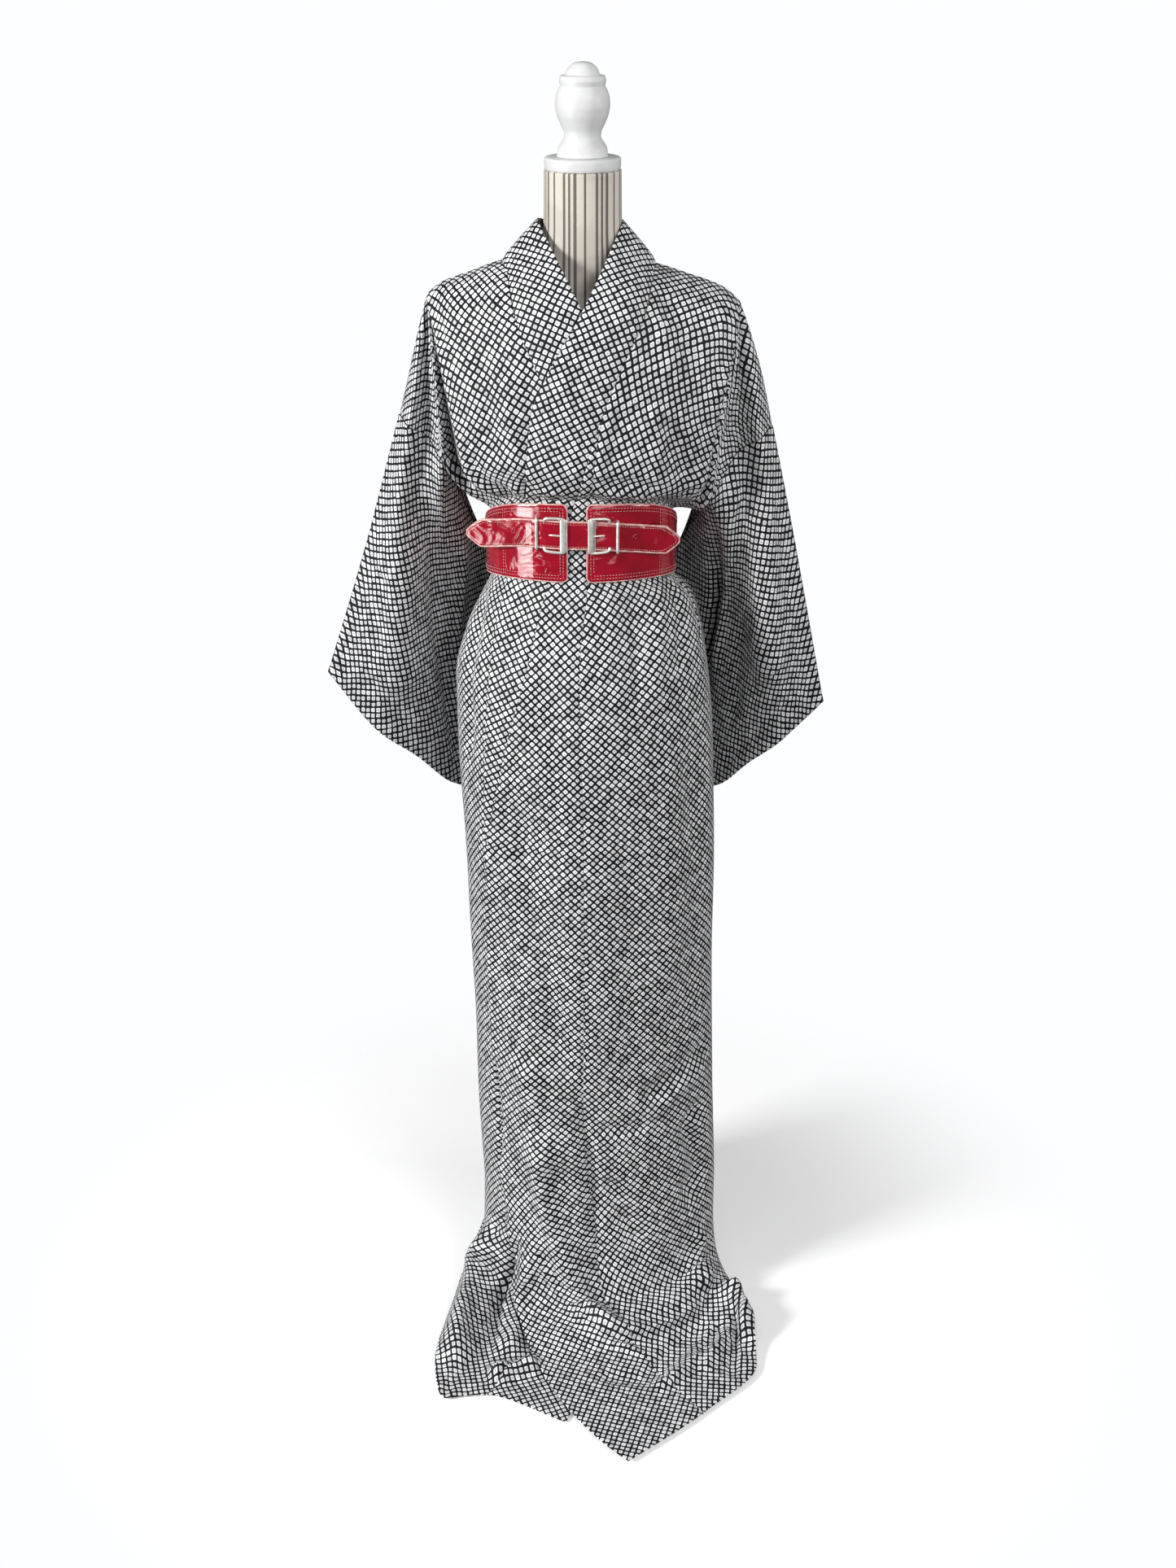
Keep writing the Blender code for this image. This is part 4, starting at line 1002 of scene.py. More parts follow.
    def point(self, across: Array, row: Array, face: Face) -> Array:
        """Point of the surface of the inner layer; a negative place is the wearer's right."""
        across, row = np.broadcast_arrays(np.asarray(across, float), np.asarray(row, float))
        result = np.zeros(across.shape + (3,))
        place = np.abs(across)
        one = np.ones_like(row)
        for side in (-1.0, 1.0):
            above = self.shoulder_point(place, row, side, face)
            below = self.ring_point(place, np.maximum(row, 1.0), side, face)
            share = ease(1.0, 2.0, row)[..., None]
            start = self.shoulder_point(place, one, side, face)
            between = below + (start - self.ring_point(place, one, side, face)) * (1.0 - share)
            point = np.where((row < 1.0)[..., None], above, between)
            result = np.where(((across < 0) == (side < 0))[..., None], point, result)
        return result

    def normal(self, across: Array, row: Array, face: Face) -> Array:
        """Outward normal of the surface."""
        small = 1e-3
        along = self.point(across + small, row, face) - self.point(across - small, row, face)
        inner = np.clip(row, 0.05, 4.0 - small)
        down = self.point(across, inner + small, face) - self.point(across, inner - small, face)
        return unit(np.cross(along, down)) * (-1.0 if face is Face.FRONT else 1.0)

    def lifted(self, across: Array, row: Array, face: Face, lift: Array) -> Array:
        """Point moved outward by a lift."""
        return self.point(across, row, face) + self.normal(across, row, face) * np.asarray(lift)[..., None]

    def front_lift(self, across: Array, row: Array, side: float) -> Array:
        """Outward offset of one front: the over front lies one layer out, except at its ridge and side."""
        if side < 0:
            return np.zeros(across.shape)
        return self.layer * ease(0.02, 0.22, row) * (1.0 - ease(0.72, 0.97, across))


@dataclass(frozen=True)
class SeamLines:
    """Edges and seams of the two fronts, as x at a height on the over front; the under front is their mirror."""

    columns: tuple[str, ...] = ("z", "over_edge", "over_seam", "under_edge", "under_seam")
    collar: Rows = (
        (1.4, 0.031, 0.086, 0.031, 0.089), (1.342, 0.0, 0.07, 0.0, 0.078), (1.278, -0.037, 0.041, -0.037, 0.052),
        (1.232, -0.057, 0.022, -0.057, 0.03), (1.188, -0.062, 0.009, -0.064, 0.012),
        (1.124, -0.065, -0.009, -0.068, -0.009), (1.024, -0.087, -0.04, -0.087, -0.04),
        (0.937, -0.107, -0.062, -0.107, -0.062), (0.84, -0.114, -0.087, -0.112, -0.087),
        (0.75, -0.116, -0.105, -0.114, -0.105), (0.66, -0.116, -0.1145, -0.115, -0.1135),
        (0.475, -0.119, -0.119, -0.117, -0.117), (0.373, -0.118, -0.118, -0.116, -0.116),
        (0.207, -0.109, -0.109, -0.109, -0.109), (0.14, -0.1, -0.1, -0.1, -0.1),
    )
    okumi: Rows = (
        (1.4, 0.086), (1.232, 0.0225), (1.163, 0.012), (1.042, 0.007), (0.916, -0.004), (0.7, 0.001), (0.327, 0.0),
        (0.242, 0.005), (0.14, 0.016),
    )

    def x(self, name: str, height: Array) -> Array:
        """X of a named line at a height; "inner" is the front panel's own inner line."""
        tag, _, kind = name.partition("_")
        if name == "okumi":
            keys, values = table(self.okumi)
            return hermite(keys[::-1], values[::-1, 0], height)
        if kind == "inner":
            return np.maximum(self.x(tag + "_seam", height), self.x("okumi", height))
        keys, values = table(self.collar)
        return hermite(keys[::-1], values[::-1, self.columns.index(name) - 1], height)

    def place(self, drape: Drape, name: str, row: float, side: float) -> float:
        """Place across where a line crosses a row of one front."""
        samples = np.linspace(-0.95, 0.95, 801) * side
        points = drape.point(samples, np.full_like(samples, row), Face.FRONT)
        miss = side * points[:, 0] - self.x(name, points[:, 2])
        i = np.nonzero((miss[:-1] <= 0.0) & (miss[1:] > 0.0))[0][-1]
        share = miss[i] / (miss[i] - miss[i + 1])
        return float(samples[i] + (samples[i + 1] - samples[i]) * share)


@dataclass(frozen=True)
class Pool:
    """The hem on the floor, round each half from the front corner to the centre back.

    The places round it are the corner, the overlap's seam, two in front, the side, two behind and the centre back.
    """

    over: Rows = (
        (0.056, -0.422, -0.062, -0.318), (0.153, -0.337, 0.075, -0.235), (0.227, -0.249, 0.165, -0.165),
        (0.2285, -0.17, 0.182, -0.11), (0.183, -0.042, 0.18, -0.02), (0.17, 0.07, 0.168, 0.05),
        (0.11, 0.225, 0.12, 0.17), (0.0008, 0.28, 0.0008, 0.22),
    )
    under: Rows = (
        (-0.022, -0.351, 0.02, -0.23), (-0.124, -0.301, -0.07, -0.22), (-0.178, -0.309, -0.13, -0.19),
        (-0.194, -0.238, -0.162, -0.14), (-0.172, -0.095, -0.155, -0.05), (-0.144, 0.075, -0.143, 0.055),
        (-0.1, 0.225, -0.11, 0.17), (-0.0008, 0.28, -0.0008, 0.22),
    )
    heights_over: Rows = (
        (0.0, 0.14, 0.14, 0.14, 0.14, 0.14, 0.14, 0.14, 0.14),
        (0.02, 0.094, 0.096, 0.098, 0.105, 0.122, 0.09, 0.092, 0.092),
        (0.06, 0.046, 0.058, 0.066, 0.078, 0.104, 0.055, 0.05, 0.05),
        (0.14, 0.027, 0.036, 0.042, 0.056, 0.084, 0.034, 0.028, 0.03),
        (0.26, 0.014, 0.034, 0.04, 0.048, 0.066, 0.024, 0.024, 0.03),
        (0.4, 0.0095, 0.014, 0.016, 0.036, 0.05, 0.016, 0.01, 0.01),
        (0.62, 0.008, 0.0085, 0.012, 0.028, 0.034, 0.01, 0.006, 0.006),
        (1.0, 0.0055, 0.0055, 0.007, 0.02, 0.016, 0.006, 0.004, 0.004),
    )
    heights_under: Rows = (
        (0.0, 0.14, 0.14, 0.14, 0.14, 0.14, 0.14, 0.14, 0.14),
        (0.02, 0.082, 0.082, 0.09, 0.094, 0.092, 0.09, 0.092, 0.092),
        (0.06, 0.034, 0.034, 0.052, 0.056, 0.056, 0.052, 0.05, 0.05),
        (0.14, 0.01, 0.012, 0.024, 0.034, 0.034, 0.028, 0.028, 0.03),
        (0.26, 0.0045, 0.006, 0.018, 0.024, 0.022, 0.02, 0.024, 0.03),
        (0.4, 0.0035, 0.004, 0.014, 0.018, 0.016, 0.012, 0.01, 0.01),
        (0.62, 0.003, 0.0032, 0.008, 0.012, 0.011, 0.008, 0.006, 0.006),
        (1.0, 0.0025, 0.0028, 0.004, 0.006, 0.006, 0.005, 0.004, 0.004),
    )

    def point(self, start: Array, column: Array, side: float, reach: float) -> Array:
        """Points from the skirt's last ring towards the hem.

        Args:
            start: points of the last ring.
            column: place of each among the named columns.
            side: 1 for the over front's half, -1 for the other.
            reach: 0 at the ring and 1 at the hem.

        Returns:
            One point for each start.
        """
        hem = self.over if side > 0 else self.under
        keys = np.arange(len(hem))
        end_x, end_y, way_x, way_y = hermite(keys, hem, column).T
        end, way = np.column_stack([end_x, end_y]), np.column_stack([way_x, way_y])
        flat = (1 - reach) ** 2 * start[:, :2] + 2 * reach * (1 - reach) * way + reach**2 * end
        reach_keys, values = table(self.heights_over if side > 0 else self.heights_under)
        profile = hermite(reach_keys, values, np.full(1, reach))[0]
        return np.concatenate([flat, hermite(keys, profile, column)[:, None]], axis=1)


def crease_relief(points: Array, normals: Array, lines: list[tuple[Crease, Array]]) -> Array:
    """Height of the listed creases at each point.

    Args:
        points: points of the cloth.
        normals: their outward normals.
        lines: each crease with its path as points in space.

    Returns:
        How far each point moves outward.
    """
    total = np.zeros(len(points))
    for number, (crease, line) in enumerate(lines):
        reach = crease.width * (2.6 + 2.0 * abs(crease.lean))
        near = np.all((points > line.min(0) - reach) & (points < line.max(0) + reach), axis=1)
        spots = points[near]
        if not len(spots):
            continue
        way = np.diff(line, axis=0)
        size = np.maximum((way**2).sum(1), TINY)
        away = spots[:, None, :] - line[None, :-1]
        share = np.clip((away * way).sum(2) / size, 0.0, 1.0)
        gap = away - share[..., None] * way
        distance = np.linalg.norm(gap, axis=2)
        best = distance.argmin(axis=1)
        pick = np.arange(len(spots))
        long = run_length(line)
        along = (long[best] + share[pick, best] * np.sqrt(size)[best]) / long[-1]
        turn = (np.cross(way[best], gap[pick, best]) * normals[near]).sum(1)
        width = crease.width * (1.0 + abs(crease.lean) * (np.sign(turn) == np.sign(crease.lean)))
        width = width * (1.0 + 0.18 * np.sin(7.0 * along + number))
        fade = ease(0.0, 0.18, along) * ease(0.0, 0.18, 1.0 - along)
        uneven = 1.0 + 0.22 * np.sin(11.0 * along + 2.3 * number)
        total[near] += crease.height * fade * uneven * np.exp(-((distance[pick, best] / width) ** 1.8))
    return total


FRONT_CREASES = creases(
    # Long soft folds of the skirt
    (-85, 150, 0.8, -0.36, 3.32, -0.325, 3.39, -0.29, 3.495, -0.225, 3.58, -0.165, 3.685, -0.075, 3.77),
    (-34, 220, 0, 0.2, 3.4, 0.24, 3.6, 0.22, 3.8), (-46, 240, 0, 0.55, 3.22, 0.62, 3.45, 0.6, 3.7),
    (43, 220, 0, 0.42, 3.25, 0.46, 3.48, 0.44, 3.68), (46, 200, 0, -0.5, 3.18, -0.56, 3.4, -0.6, 3.66),
    (-25, 160, 0, -0.12, 3.12, -0.16, 3.3, -0.14, 3.48),
    # Gathers below the belt
    (-47, 80, 0.6, 0.315, 3.0, 0.29, 3.08, 0.26, 3.135, 0.25, 3.22),
    (41, 90, 0, 0.525, 3.0, 0.455, 3.085, 0.405, 3.145, 0.38, 3.22), (-47, 80, 0, 0.66, 3.0, 0.6, 3.09, 0.53, 3.17),
    (-54, 90, 0, 0.98, 3.02, 0.945, 3.1, 0.77, 3.16), (30, 90, 0, 0.14, 3.0, 0.125, 3.08, 0.12, 3.16),
    (-24, 80, 0, -0.1, 3.0, -0.12, 3.06, -0.14, 3.13), (-35, 90, 0, -0.36, 3.0, -0.37, 3.07, -0.4, 3.16),
    (-54, 80, -0.6, -0.965, 3.02, -0.81, 3.07, -0.72, 3.115, -0.69, 3.16, -0.675, 3.23, -0.73, 3.33),
    # Chest of the over front: a fold from the collar to the armpit, and blousing above the belt
    (-54, 90, 0.5, 0.36, 0.12, 0.325, 0.22, 0.385, 0.315, 0.445, 0.415, 0.475, 0.525),
    (46, 100, 0, 0.285, 0.16, 0.3, 0.28, 0.315, 0.375, 0.375, 0.545),
    (-74, 100, 0.5, 0.37, 0.7, 0.39, 0.84, 0.45, 0.94, 0.525, 1.205), (61, 110, 0, 0.3, 0.66, 0.33, 0.84, 0.37, 1.0),
    (-57, 80, -0.4, 0.14, 1.5, 0.17, 1.3, 0.21, 1.12, 0.28, 1.1, 0.37, 1.37),
    (49, 110, 0, 0.2, 1.62, 0.26, 1.45, 0.33, 1.6),
    (-49, 70, 0.7, 0.17, 0.66, 0.145, 0.8, 0.125, 0.925, 0.11, 1.285, 0.1, 1.7),
    (-54, 80, 0, 0.56, 1.1, 0.52, 1.5, 0.46, 1.85), (49, 90, 0, 0.7, 1.15, 0.66, 1.5, 0.58, 1.9),
    (-38, 60, 0, 0.05, 1.45, 0.05, 1.72, 0.04, 1.98), (42, 60, 0, 0.155, 1.3, 0.165, 1.65, 0.15, 1.99),
    (-44, 50, 0.4, 0.255, 1.48, 0.235, 1.75, 0.205, 1.99), (46, 70, 0, 0.365, 1.35, 0.33, 1.7, 0.29, 1.98),
    (-40, 60, 0, 0.64, 1.4, 0.58, 1.7, 0.5, 1.98), (-46, 80, 0, 0.83, 1.25, 0.77, 1.6, 0.66, 1.96),
    (-36, 60, 0, -0.13, 1.5, -0.14, 1.75, -0.13, 1.98), (42, 60, 0, -0.36, 1.35, -0.36, 1.7, -0.33, 1.98),
    (-46, 80, 0, -0.72, 1.2, -0.7, 1.6, -0.6, 1.96),
    # Chest of the under front
    (-35, 100, 0.6, -0.24, 0.4, -0.215, 0.59, -0.215, 0.75, -0.24, 0.995),
    (-32, 120, 0, -0.43, 0.42, -0.41, 0.57, -0.405, 0.77, -0.43, 1.05),
    (35, 130, 0, -0.32, 0.5, -0.31, 0.75, -0.33, 1.1), (-46, 90, 0, -0.5, 0.9, -0.5, 1.25, -0.44, 1.8),
    (46, 100, 0, -0.6, 1.05, -0.6, 1.4, -0.55, 1.9), (-41, 80, 0, -0.26, 1.15, -0.27, 1.45, -0.26, 1.9),
    (35, 90, 0, -0.15, 1.3, -0.16, 1.6, -0.17, 1.95),
)
BACK_CREASES = creases(
    (-68, 120, 0.6, 0.1, 0.3, 0.13, 0.7, 0.12, 1.3, 0.1, 1.85),
    (-60, 130, -0.5, -0.08, 0.45, -0.14, 0.85, -0.16, 1.4, -0.12, 1.9), (56, 130, 0, 0.0, 0.6, 0.01, 1.1, 0.0, 1.8),
    (-87, 100, 0.7, 0.55, 0.55, 0.44, 0.8, 0.34, 1.3, 0.28, 1.8),
    (-87, 110, -0.7, -0.55, 0.5, -0.46, 0.78, -0.38, 1.25, -0.3, 1.85), (68, 120, 0, 0.48, 0.45, 0.36, 0.72, 0.26, 1.1),
    (68, 120, 0, -0.46, 0.4, -0.35, 0.7, -0.27, 1.15), (-72, 90, 0, 0.62, 1.1, 0.56, 1.5, 0.48, 1.9),
    (-72, 90, 0, -0.66, 1.1, -0.58, 1.5, -0.5, 1.9), (-83, 120, 0.5, -0.84, 3.0, -0.78, 3.1, -0.74, 3.28, -0.76, 3.5),
    (68, 130, 0, -0.6, 3.0, -0.56, 3.12, -0.55, 3.35),
    (-94, 120, -0.5, -0.42, 3.0, -0.38, 3.1, -0.36, 3.34, -0.4, 3.62), (64, 120, 0, -0.2, 3.0, -0.17, 3.12, -0.16, 3.3),
    (-79, 110, 0.5, -0.03, 3.0, 0.01, 3.12, 0.04, 3.36, 0.02, 3.6), (72, 130, 0, 0.2, 3.0, 0.19, 3.12, 0.2, 3.36),
    (-94, 120, 0.5, 0.38, 3.0, 0.36, 3.12, 0.34, 3.36, 0.36, 3.7),
    (-79, 120, -0.5, 0.66, 3.0, 0.6, 3.12, 0.58, 3.3, 0.6, 3.52), (68, 130, 0, 0.88, 3.02, 0.8, 3.14, 0.78, 3.34),
    (-68, 120, -0.6, -0.5, 3.66, -0.3, 3.72, -0.05, 3.7, 0.16, 3.75),
    (-87, 130, -0.6, 0.7, 3.82, 0.44, 3.86, 0.2, 3.93, -0.05, 3.94),
    (-79, 120, -0.5, -0.7, 3.86, -0.46, 3.9, -0.28, 3.97),
    face=Face.BACK,
)
LOW_CREASES = creases(
    # Left lobe: a roll, its deep groove and a low ridge
    (269, 190, 0, -119, -75, 105, -141, -69, 30, -156, -141, 16, -168, -215, 9, -172, -266, 6),
    (-218, 75, 0, -88, -114, 112, -101, -111, 50, -117, -145, 20, -123, -200, 11, -145, -250, 6, -159, -279, 5),
    (134, 120, 0, -69, -126, 105, -80, -137, 44, -93, -184, 10, -103, -242, 4),
    (-101, 60, 0, -98, -102, 141, -124, -70, 88),
    # Hem that curls up at its left
    (-101, 60, 0, -130, -301, 3, -96, -291, 3, -69, -281, 3, -38, -277, 9),
    (168, 120, 0, -128, -273, 3, -91, -257, 3, -54, -246, 10),
    # Swag from the left knee to the right hem, with a second thin ridge
    (185, 130, 0, -64, -120, 286, -51, -127, 186, -32, -137, 112, -14, -147, 63, 13, -180, 33, 50, -203, 25, 99, -189,
     19, 145, -157, 22, 172, -121, 33),
    (101, 70, 0, -81, -114, 143, -58, -133, 88, -17, -164, 36, 19, -212, 23, 68, -230, 12, 95, -237, 10),
    (-67, 45, 0, -73, -122, 120, -38, -143, 68, -7, -174, 33, 35, -212, 21, 80, -218, 13),
    (-185, 80, 0, 17, -273, 9, 72, -280, 8, 102, -249, 9, 139, -205, 11, 172, -172, 14),
    (118, 90, 0, 88, -300, 7, 130, -266, 8, 162, -218, 10), (-118, 50, 0, 144, -245, 8, 164, -212, 10, 185, -173, 15),
    (118, 80, 0, 153, -266, 7, 178, -224, 9, 196, -185, 14), (-118, 50, 0, 207, -148, 24, 203, -202, 12, 192, -277, 7),
    (202, 100, 0, 184, -116, 32, 202, -126, 27, 215, -161, 23, 220, -211, 12),
    # Foot of the overlap's seam, and soft folds beside it
    (-101, 120, 0.6, -8, -130, 356, 6, -132, 268, 17, -135, 167, 25, -154, 45),
    (101, 240, 0, -79, -111, 405, -63, -119, 311, -42, -128, 214),
    (-101, 130, 0, 31, -132, 223, 59, -131, 144, 90, -128, 79),
    (-50, 50, 0.8, 7, -131, 290, 43, -128, 288, 87, -117, 286),
    # Right side
    (-58, 110, 0.6, 167, -47, 384, 124, -96, 368, 70, -120, 325),
    (52, 140, 0, 165, -52, 350, 124, -97, 335, 80, -118, 300),
    (-151, 180, 0, 169, -49, 300, 144, -84, 261, 157, -74, 189, 128, -101, 144),
    (118, 160, 0, 159, -78, 103, 157, -97, 53, 166, -135, 26),
    (-118, 60, 0, -119, -81, 377, -117, -83, 311, -114, -86, 250, -112, -81, 199),
    columns=3, scale=1000.0,
)
FLOOR_CREASES = creases(
    (108, 180, 0, 182, 20, 172, 90, 140, 150), (121, 170, 0.4, 110, 170, 60, 215, -10, 222),
    (-108, 130, -0.5, 85, 180, 20, 190, -50, 185), (121, 180, 0, -40, 230, -80, 190, -120, 120),
    (-81, 120, 0, -145, 20, -140, 80, -120, 140), (-54, 120, 0, 30, 262, 85, 228, 130, 165),
    scale=1000.0,
)
SLEEVE_CREASES = {
    -1.0: creases(
        (-80, 120, 0.6, 0.05, 0.34, 0.21, 0.33, 0.36, 0.39, 0.55, 0.4, 0.73, 0.44, 0.9, 0.47, 1.0, 0.49),
        (75, 110, 0, 0.08, 0.56, 0.2, 0.58, 0.35, 0.54, 0.49, 0.51, 0.64, 0.55),
        (67, 220, 0, 0.3, 0.18, 0.48, 0.24, 0.68, 0.26, 0.86, 0.24), (-33, 140, 0, 0.45, 0.1, 0.62, 0.13, 0.8, 0.12),
        (-75, 130, -0.5, 0.3, 0.72, 0.52, 0.74, 0.76, 0.8), (60, 130, 0, 0.25, 0.86, 0.5, 0.88, 0.78, 0.92),
        (-39, 120, 0, 0.84, 0.1, 0.9, 0.2, 0.93, 0.32),
    ),
    1.0: creases(
        (83, 110, 0, 0.0, 0.21, 0.11, 0.31, 0.28, 0.43, 0.49, 0.49, 0.66, 0.54),
        (-128, 100, 0.5, 0.0, 0.36, 0.13, 0.45, 0.37, 0.52, 0.54, 0.56, 0.75, 0.6),
        (75, 190, 0, 0.12, 0.16, 0.35, 0.22, 0.63, 0.23, 0.8, 0.2), (-30, 120, 0, 0.2, 0.08, 0.42, 0.08, 0.62, 0.1),
        (-54, 100, 0.5, 0.96, 0.42, 0.93, 0.36, 0.92, 0.28, 0.9, 0.2, 0.92, 0.11),
        (-51, 140, 0, 0.45, 0.33, 0.66, 0.36, 0.84, 0.38), (-75, 130, -0.5, 0.3, 0.76, 0.52, 0.78, 0.76, 0.84),
        (60, 130, 0, 0.25, 0.88, 0.5, 0.9, 0.78, 0.93),
    ),
}


@dataclass
class Kimono:
    """The kimono: two body lengths, two overlaps, a collar and two sleeves."""

    wardrobe: Wardrobe
    drape: Drape = field(default_factory=Drape)
    lines: SeamLines = field(default_factory=SeamLines)
    pool: Pool = field(default_factory=Pool)
    wall: float = 0.001
    hem_wall: float = 0.0017
    hem_width: float = 0.009
    collar_wall: float = 0.0017
    seam_gap: float = 0.0016
    seam_dip: float = 0.0011
    seam_roll: float = 0.0035
    neck_share: float = 0.29
    collar_end: float = 0.69
    sleeve_depth: float = 0.47
    sleeve_sewn_share: float = 0.43
    sleeve_bag: float = 0.03
    sleeve_sewn: float = 0.0022
    sleeve_turn: float = -18.0
    chest_row: float = 0.9
    chest_turns: tuple[Rows, Rows] = (((0.0, 0.0), (0.3, 0.0), (0.9, -12.0), (1.5, -12.0), (2.1, 0.0)),
                                      ((-2.9, 0.0), (-2.05, -17.0), (1.0, -17.0), (1.9, 0.0)))
    sleeve_print: float = 0.88
    sleeve_seam_gap: float = 0.0021
    collar_left_share: float = 0.91
    collar_neck: Rows = (
        (0.0, 0.068, 1.369, 0.0, 0.056, 1.412), (0.027, 0.064, 1.372, 0.023, 0.052, 1.415),
        (0.054, 0.052, 1.378, 0.043, 0.034, 1.424), (0.08, 0.026, 1.3835, 0.051, 0.012, 1.429),
        (0.092, 0.0, 1.386, 0.051, -0.008, 1.429),
    )
    sleeve_drops: tuple[float, ...] = (0.0, 0.16, 0.31, 0.43, 0.73, 1.0)
    sleeve_right: tuple = (
        (0.45, ((0.262, 0.014, 1.05), (0.23, -0.012, 1.012), (0.2, 0.014, 0.982), (0.176, 0.05, 0.945),
                (0.124, 0.13, 0.868), (0.068, 0.172, 0.812))),
        (1.0, ((0.321, 0.03, 0.872), (0.267, 0.03, 0.797), (0.214, 0.052, 0.746), (0.174, 0.088, 0.694),
                (0.106, 0.156, 0.65), (0.048, 0.188, 0.64))),
    )
    sleeve_left: tuple = (
        (0.45, ((0.26, 0.014, 1.035), (0.229, -0.014, 0.996), (0.2, 0.014, 0.966), (0.182, 0.052, 0.93),
                (0.128, 0.134, 0.858), (0.072, 0.174, 0.802))),
        (1.0, ((0.304, 0.03, 0.832), (0.256, 0.03, 0.781), (0.212, 0.052, 0.736), (0.18, 0.09, 0.69),
                (0.108, 0.158, 0.646), (0.048, 0.19, 0.634))),
    )
    furi_right: Rows = ((0.136, 0.062, 1.06), (0.1, 0.13, 0.968))
    furi_left: Rows = ((0.128, 0.074, 1.04), (0.092, 0.138, 0.95))

    def __post_init__(self) -> None:
        """Set out the rows and the creases that all pieces share."""
        self.rows, self.reaches = (
            np.unique(np.concatenate([np.linspace(*span) for span in spans]).round(6))
            for spans in (((0.0, 0.08, 5), (0.08, 1.0, 36), (1.0, 2.0, 16), (2.0, 3.0, 14), (3.0, 3.2, 24),
                           (3.2, 4.0, 112)), ((0.0, 0.14, 15), (0.14, 1.0, 40))))
        self.wall_creases = [(crease, self.drape.point(*crease.line.T, crease.face))
                             for crease in FRONT_CREASES + BACK_CREASES]
        self.floor_creases = [(crease, np.pad(crease.line, ((0, 0), (0, 1)))) for crease in FLOOR_CREASES]
        self.low_creases = [(crease, crease.line) for crease in LOW_CREASES]

    def creased(self, points: Array, normals: Array) -> Array:
        """Lay the creases on points of the body, the overlaps or the collar."""
        flat, out = points.reshape(-1, 3), normals.reshape(-1, 3)
        x, y, z = flat.T
        belt = ease(1.004, 1.022, z) * (1.0 - ease(1.118, 1.14, z))
        calm = 1.0 - 0.85 * belt * (np.hypot(x, y) < 0.135)
        wall = crease_relief(flat, out, self.wall_creases) * calm * ease(0.05, 0.14, z)
        low = 1.0 - ease(0.05, 0.13, z)
        upward = np.broadcast_to((0.0, 0.0, 1.0), flat.shape)
        floor = crease_relief(flat * LEVEL, upward, self.floor_creases) * low
        slack = 0.0011 * np.sin(31.0 * x + 9.0 * z) * np.sin(17.0 * z - 23.0 * y)
        room = 0.75 * np.maximum(z - 0.0022, 0.0)
        swept = np.maximum(crease_relief(flat, out, self.low_creases), -room / np.maximum(out[:, 2], 0.08))
        moved = flat + out * (wall + swept + slack * calm * (1.0 - low))[:, None]
        moved[:, 2] += np.maximum(floor, -room)
        return moved.reshape(points.shape)

    def patch(self, bounds: object, shares: Array, side: float, face: Face, columns: tuple[float, float],
              lifted: bool) -> dict[str, Array]:
        """One face of a piece, down the drape and out over the floor.

        Args:
            bounds: function from a row to the inner and outer place across, or None above the piece.
            shares: columns as shares between the bounds.
            side: 1 for the wearer's left and -1 for the right.
            face: front or back.
            columns: hem columns at the first and the last share.
            lifted: whether the piece lies over the other front.

        Returns:
            Grids of points and of how firm the cloth is there, places across, and lengths down.
        """
        rows = [row for row in self.rows if bounds(row) is not None]
        ends = np.array([bounds(row) for row in rows])
        across = ends[:, :1] + (ends[:, 1:] - ends[:, :1]) * shares
        row_grid = np.array(rows)[:, None] + 0.0 * across
        lift = self.drape.front_lift(across, row_grid, side) if lifted else 0.0
        wall = self.drape.lifted(across, row_grid, face, lift)
        column = columns[0] + (columns[1] - columns[0]) * shares
        floor = np.array([self.pool.point(wall[-1], column, side, reach) for reach in self.reaches[1:]])
        points = np.concatenate([wall, floor])

        lane = self.drape.point(np.full_like(self.rows, 0.5 * side), self.rows, face)
        down = np.interp(rows, self.rows, run_length(lane))
        tail = run_length(points[len(rows) - 1:]).mean(axis=1)[1:]
        fold = ease(0.03, 0.0, np.abs(np.abs(across) - self.drape.tip - 0.02)) * (row_grid < 1.0)
        firm = 1.0 - 0.97 * np.maximum(fold, ease(1.75, 2.0, row_grid) * (1.0 - ease(3.0, 3.05, row_grid)))
        firm = np.concatenate([firm, np.ones(floor.shape[:2])])
        return {"points": points, "across": across, "down": np.concatenate([down, down[-1] + tail]), "firm": firm}

    def cut_places(self, grid: dict[str, Array], anchor: float | None, shares: Array, sign: float) -> Array:
        """Places in the cut, in metres along the grain and across it.

        Args:
            grid: a face from patch.
            anchor: place across that the grain runs along, or None for the last column.
            shares: the face's columns.
            sign: -1 in front and 1 behind, so that the length runs on over the shoulder.

        Returns:
            Grid of cut places.
        """
        along = run_length(grid["points"], axis=1)
        start = along[:, -1]
        if anchor is not None:
            order = 1.0 if grid["across"][0, -1] > grid["across"][0, 0] else -1.0
            start = [np.interp(order * anchor, order * a, w) for a, w in zip(grid["across"], along)]
            share = np.interp(order * anchor, order * grid["across"][-1], shares)
            start = np.array(start + [np.interp(share, shares, w) for w in along[len(start):]])
        return np.stack([along - start[:, None], sign * grid["down"][:, None] + 0.0 * along], axis=-1)

    def grid_normals(self, points: Array) -> Array:
        """Outward normals of a grid of wall and floor points."""
        normal = unit(np.cross(np.gradient(points, axis=1), np.gradient(points, axis=0)))
        centre = len(points) // 2, points.shape[1] // 2
        return normal * np.sign((normal[centre] * points[centre] * LEVEL).sum())

    def dip(self, distance: Array) -> Array:
        """How far the cloth rolls inward at a distance from a sewn edge."""
        return (self.seam_dip * np.exp(-((distance / self.seam_roll) ** 1.5)))[..., None]

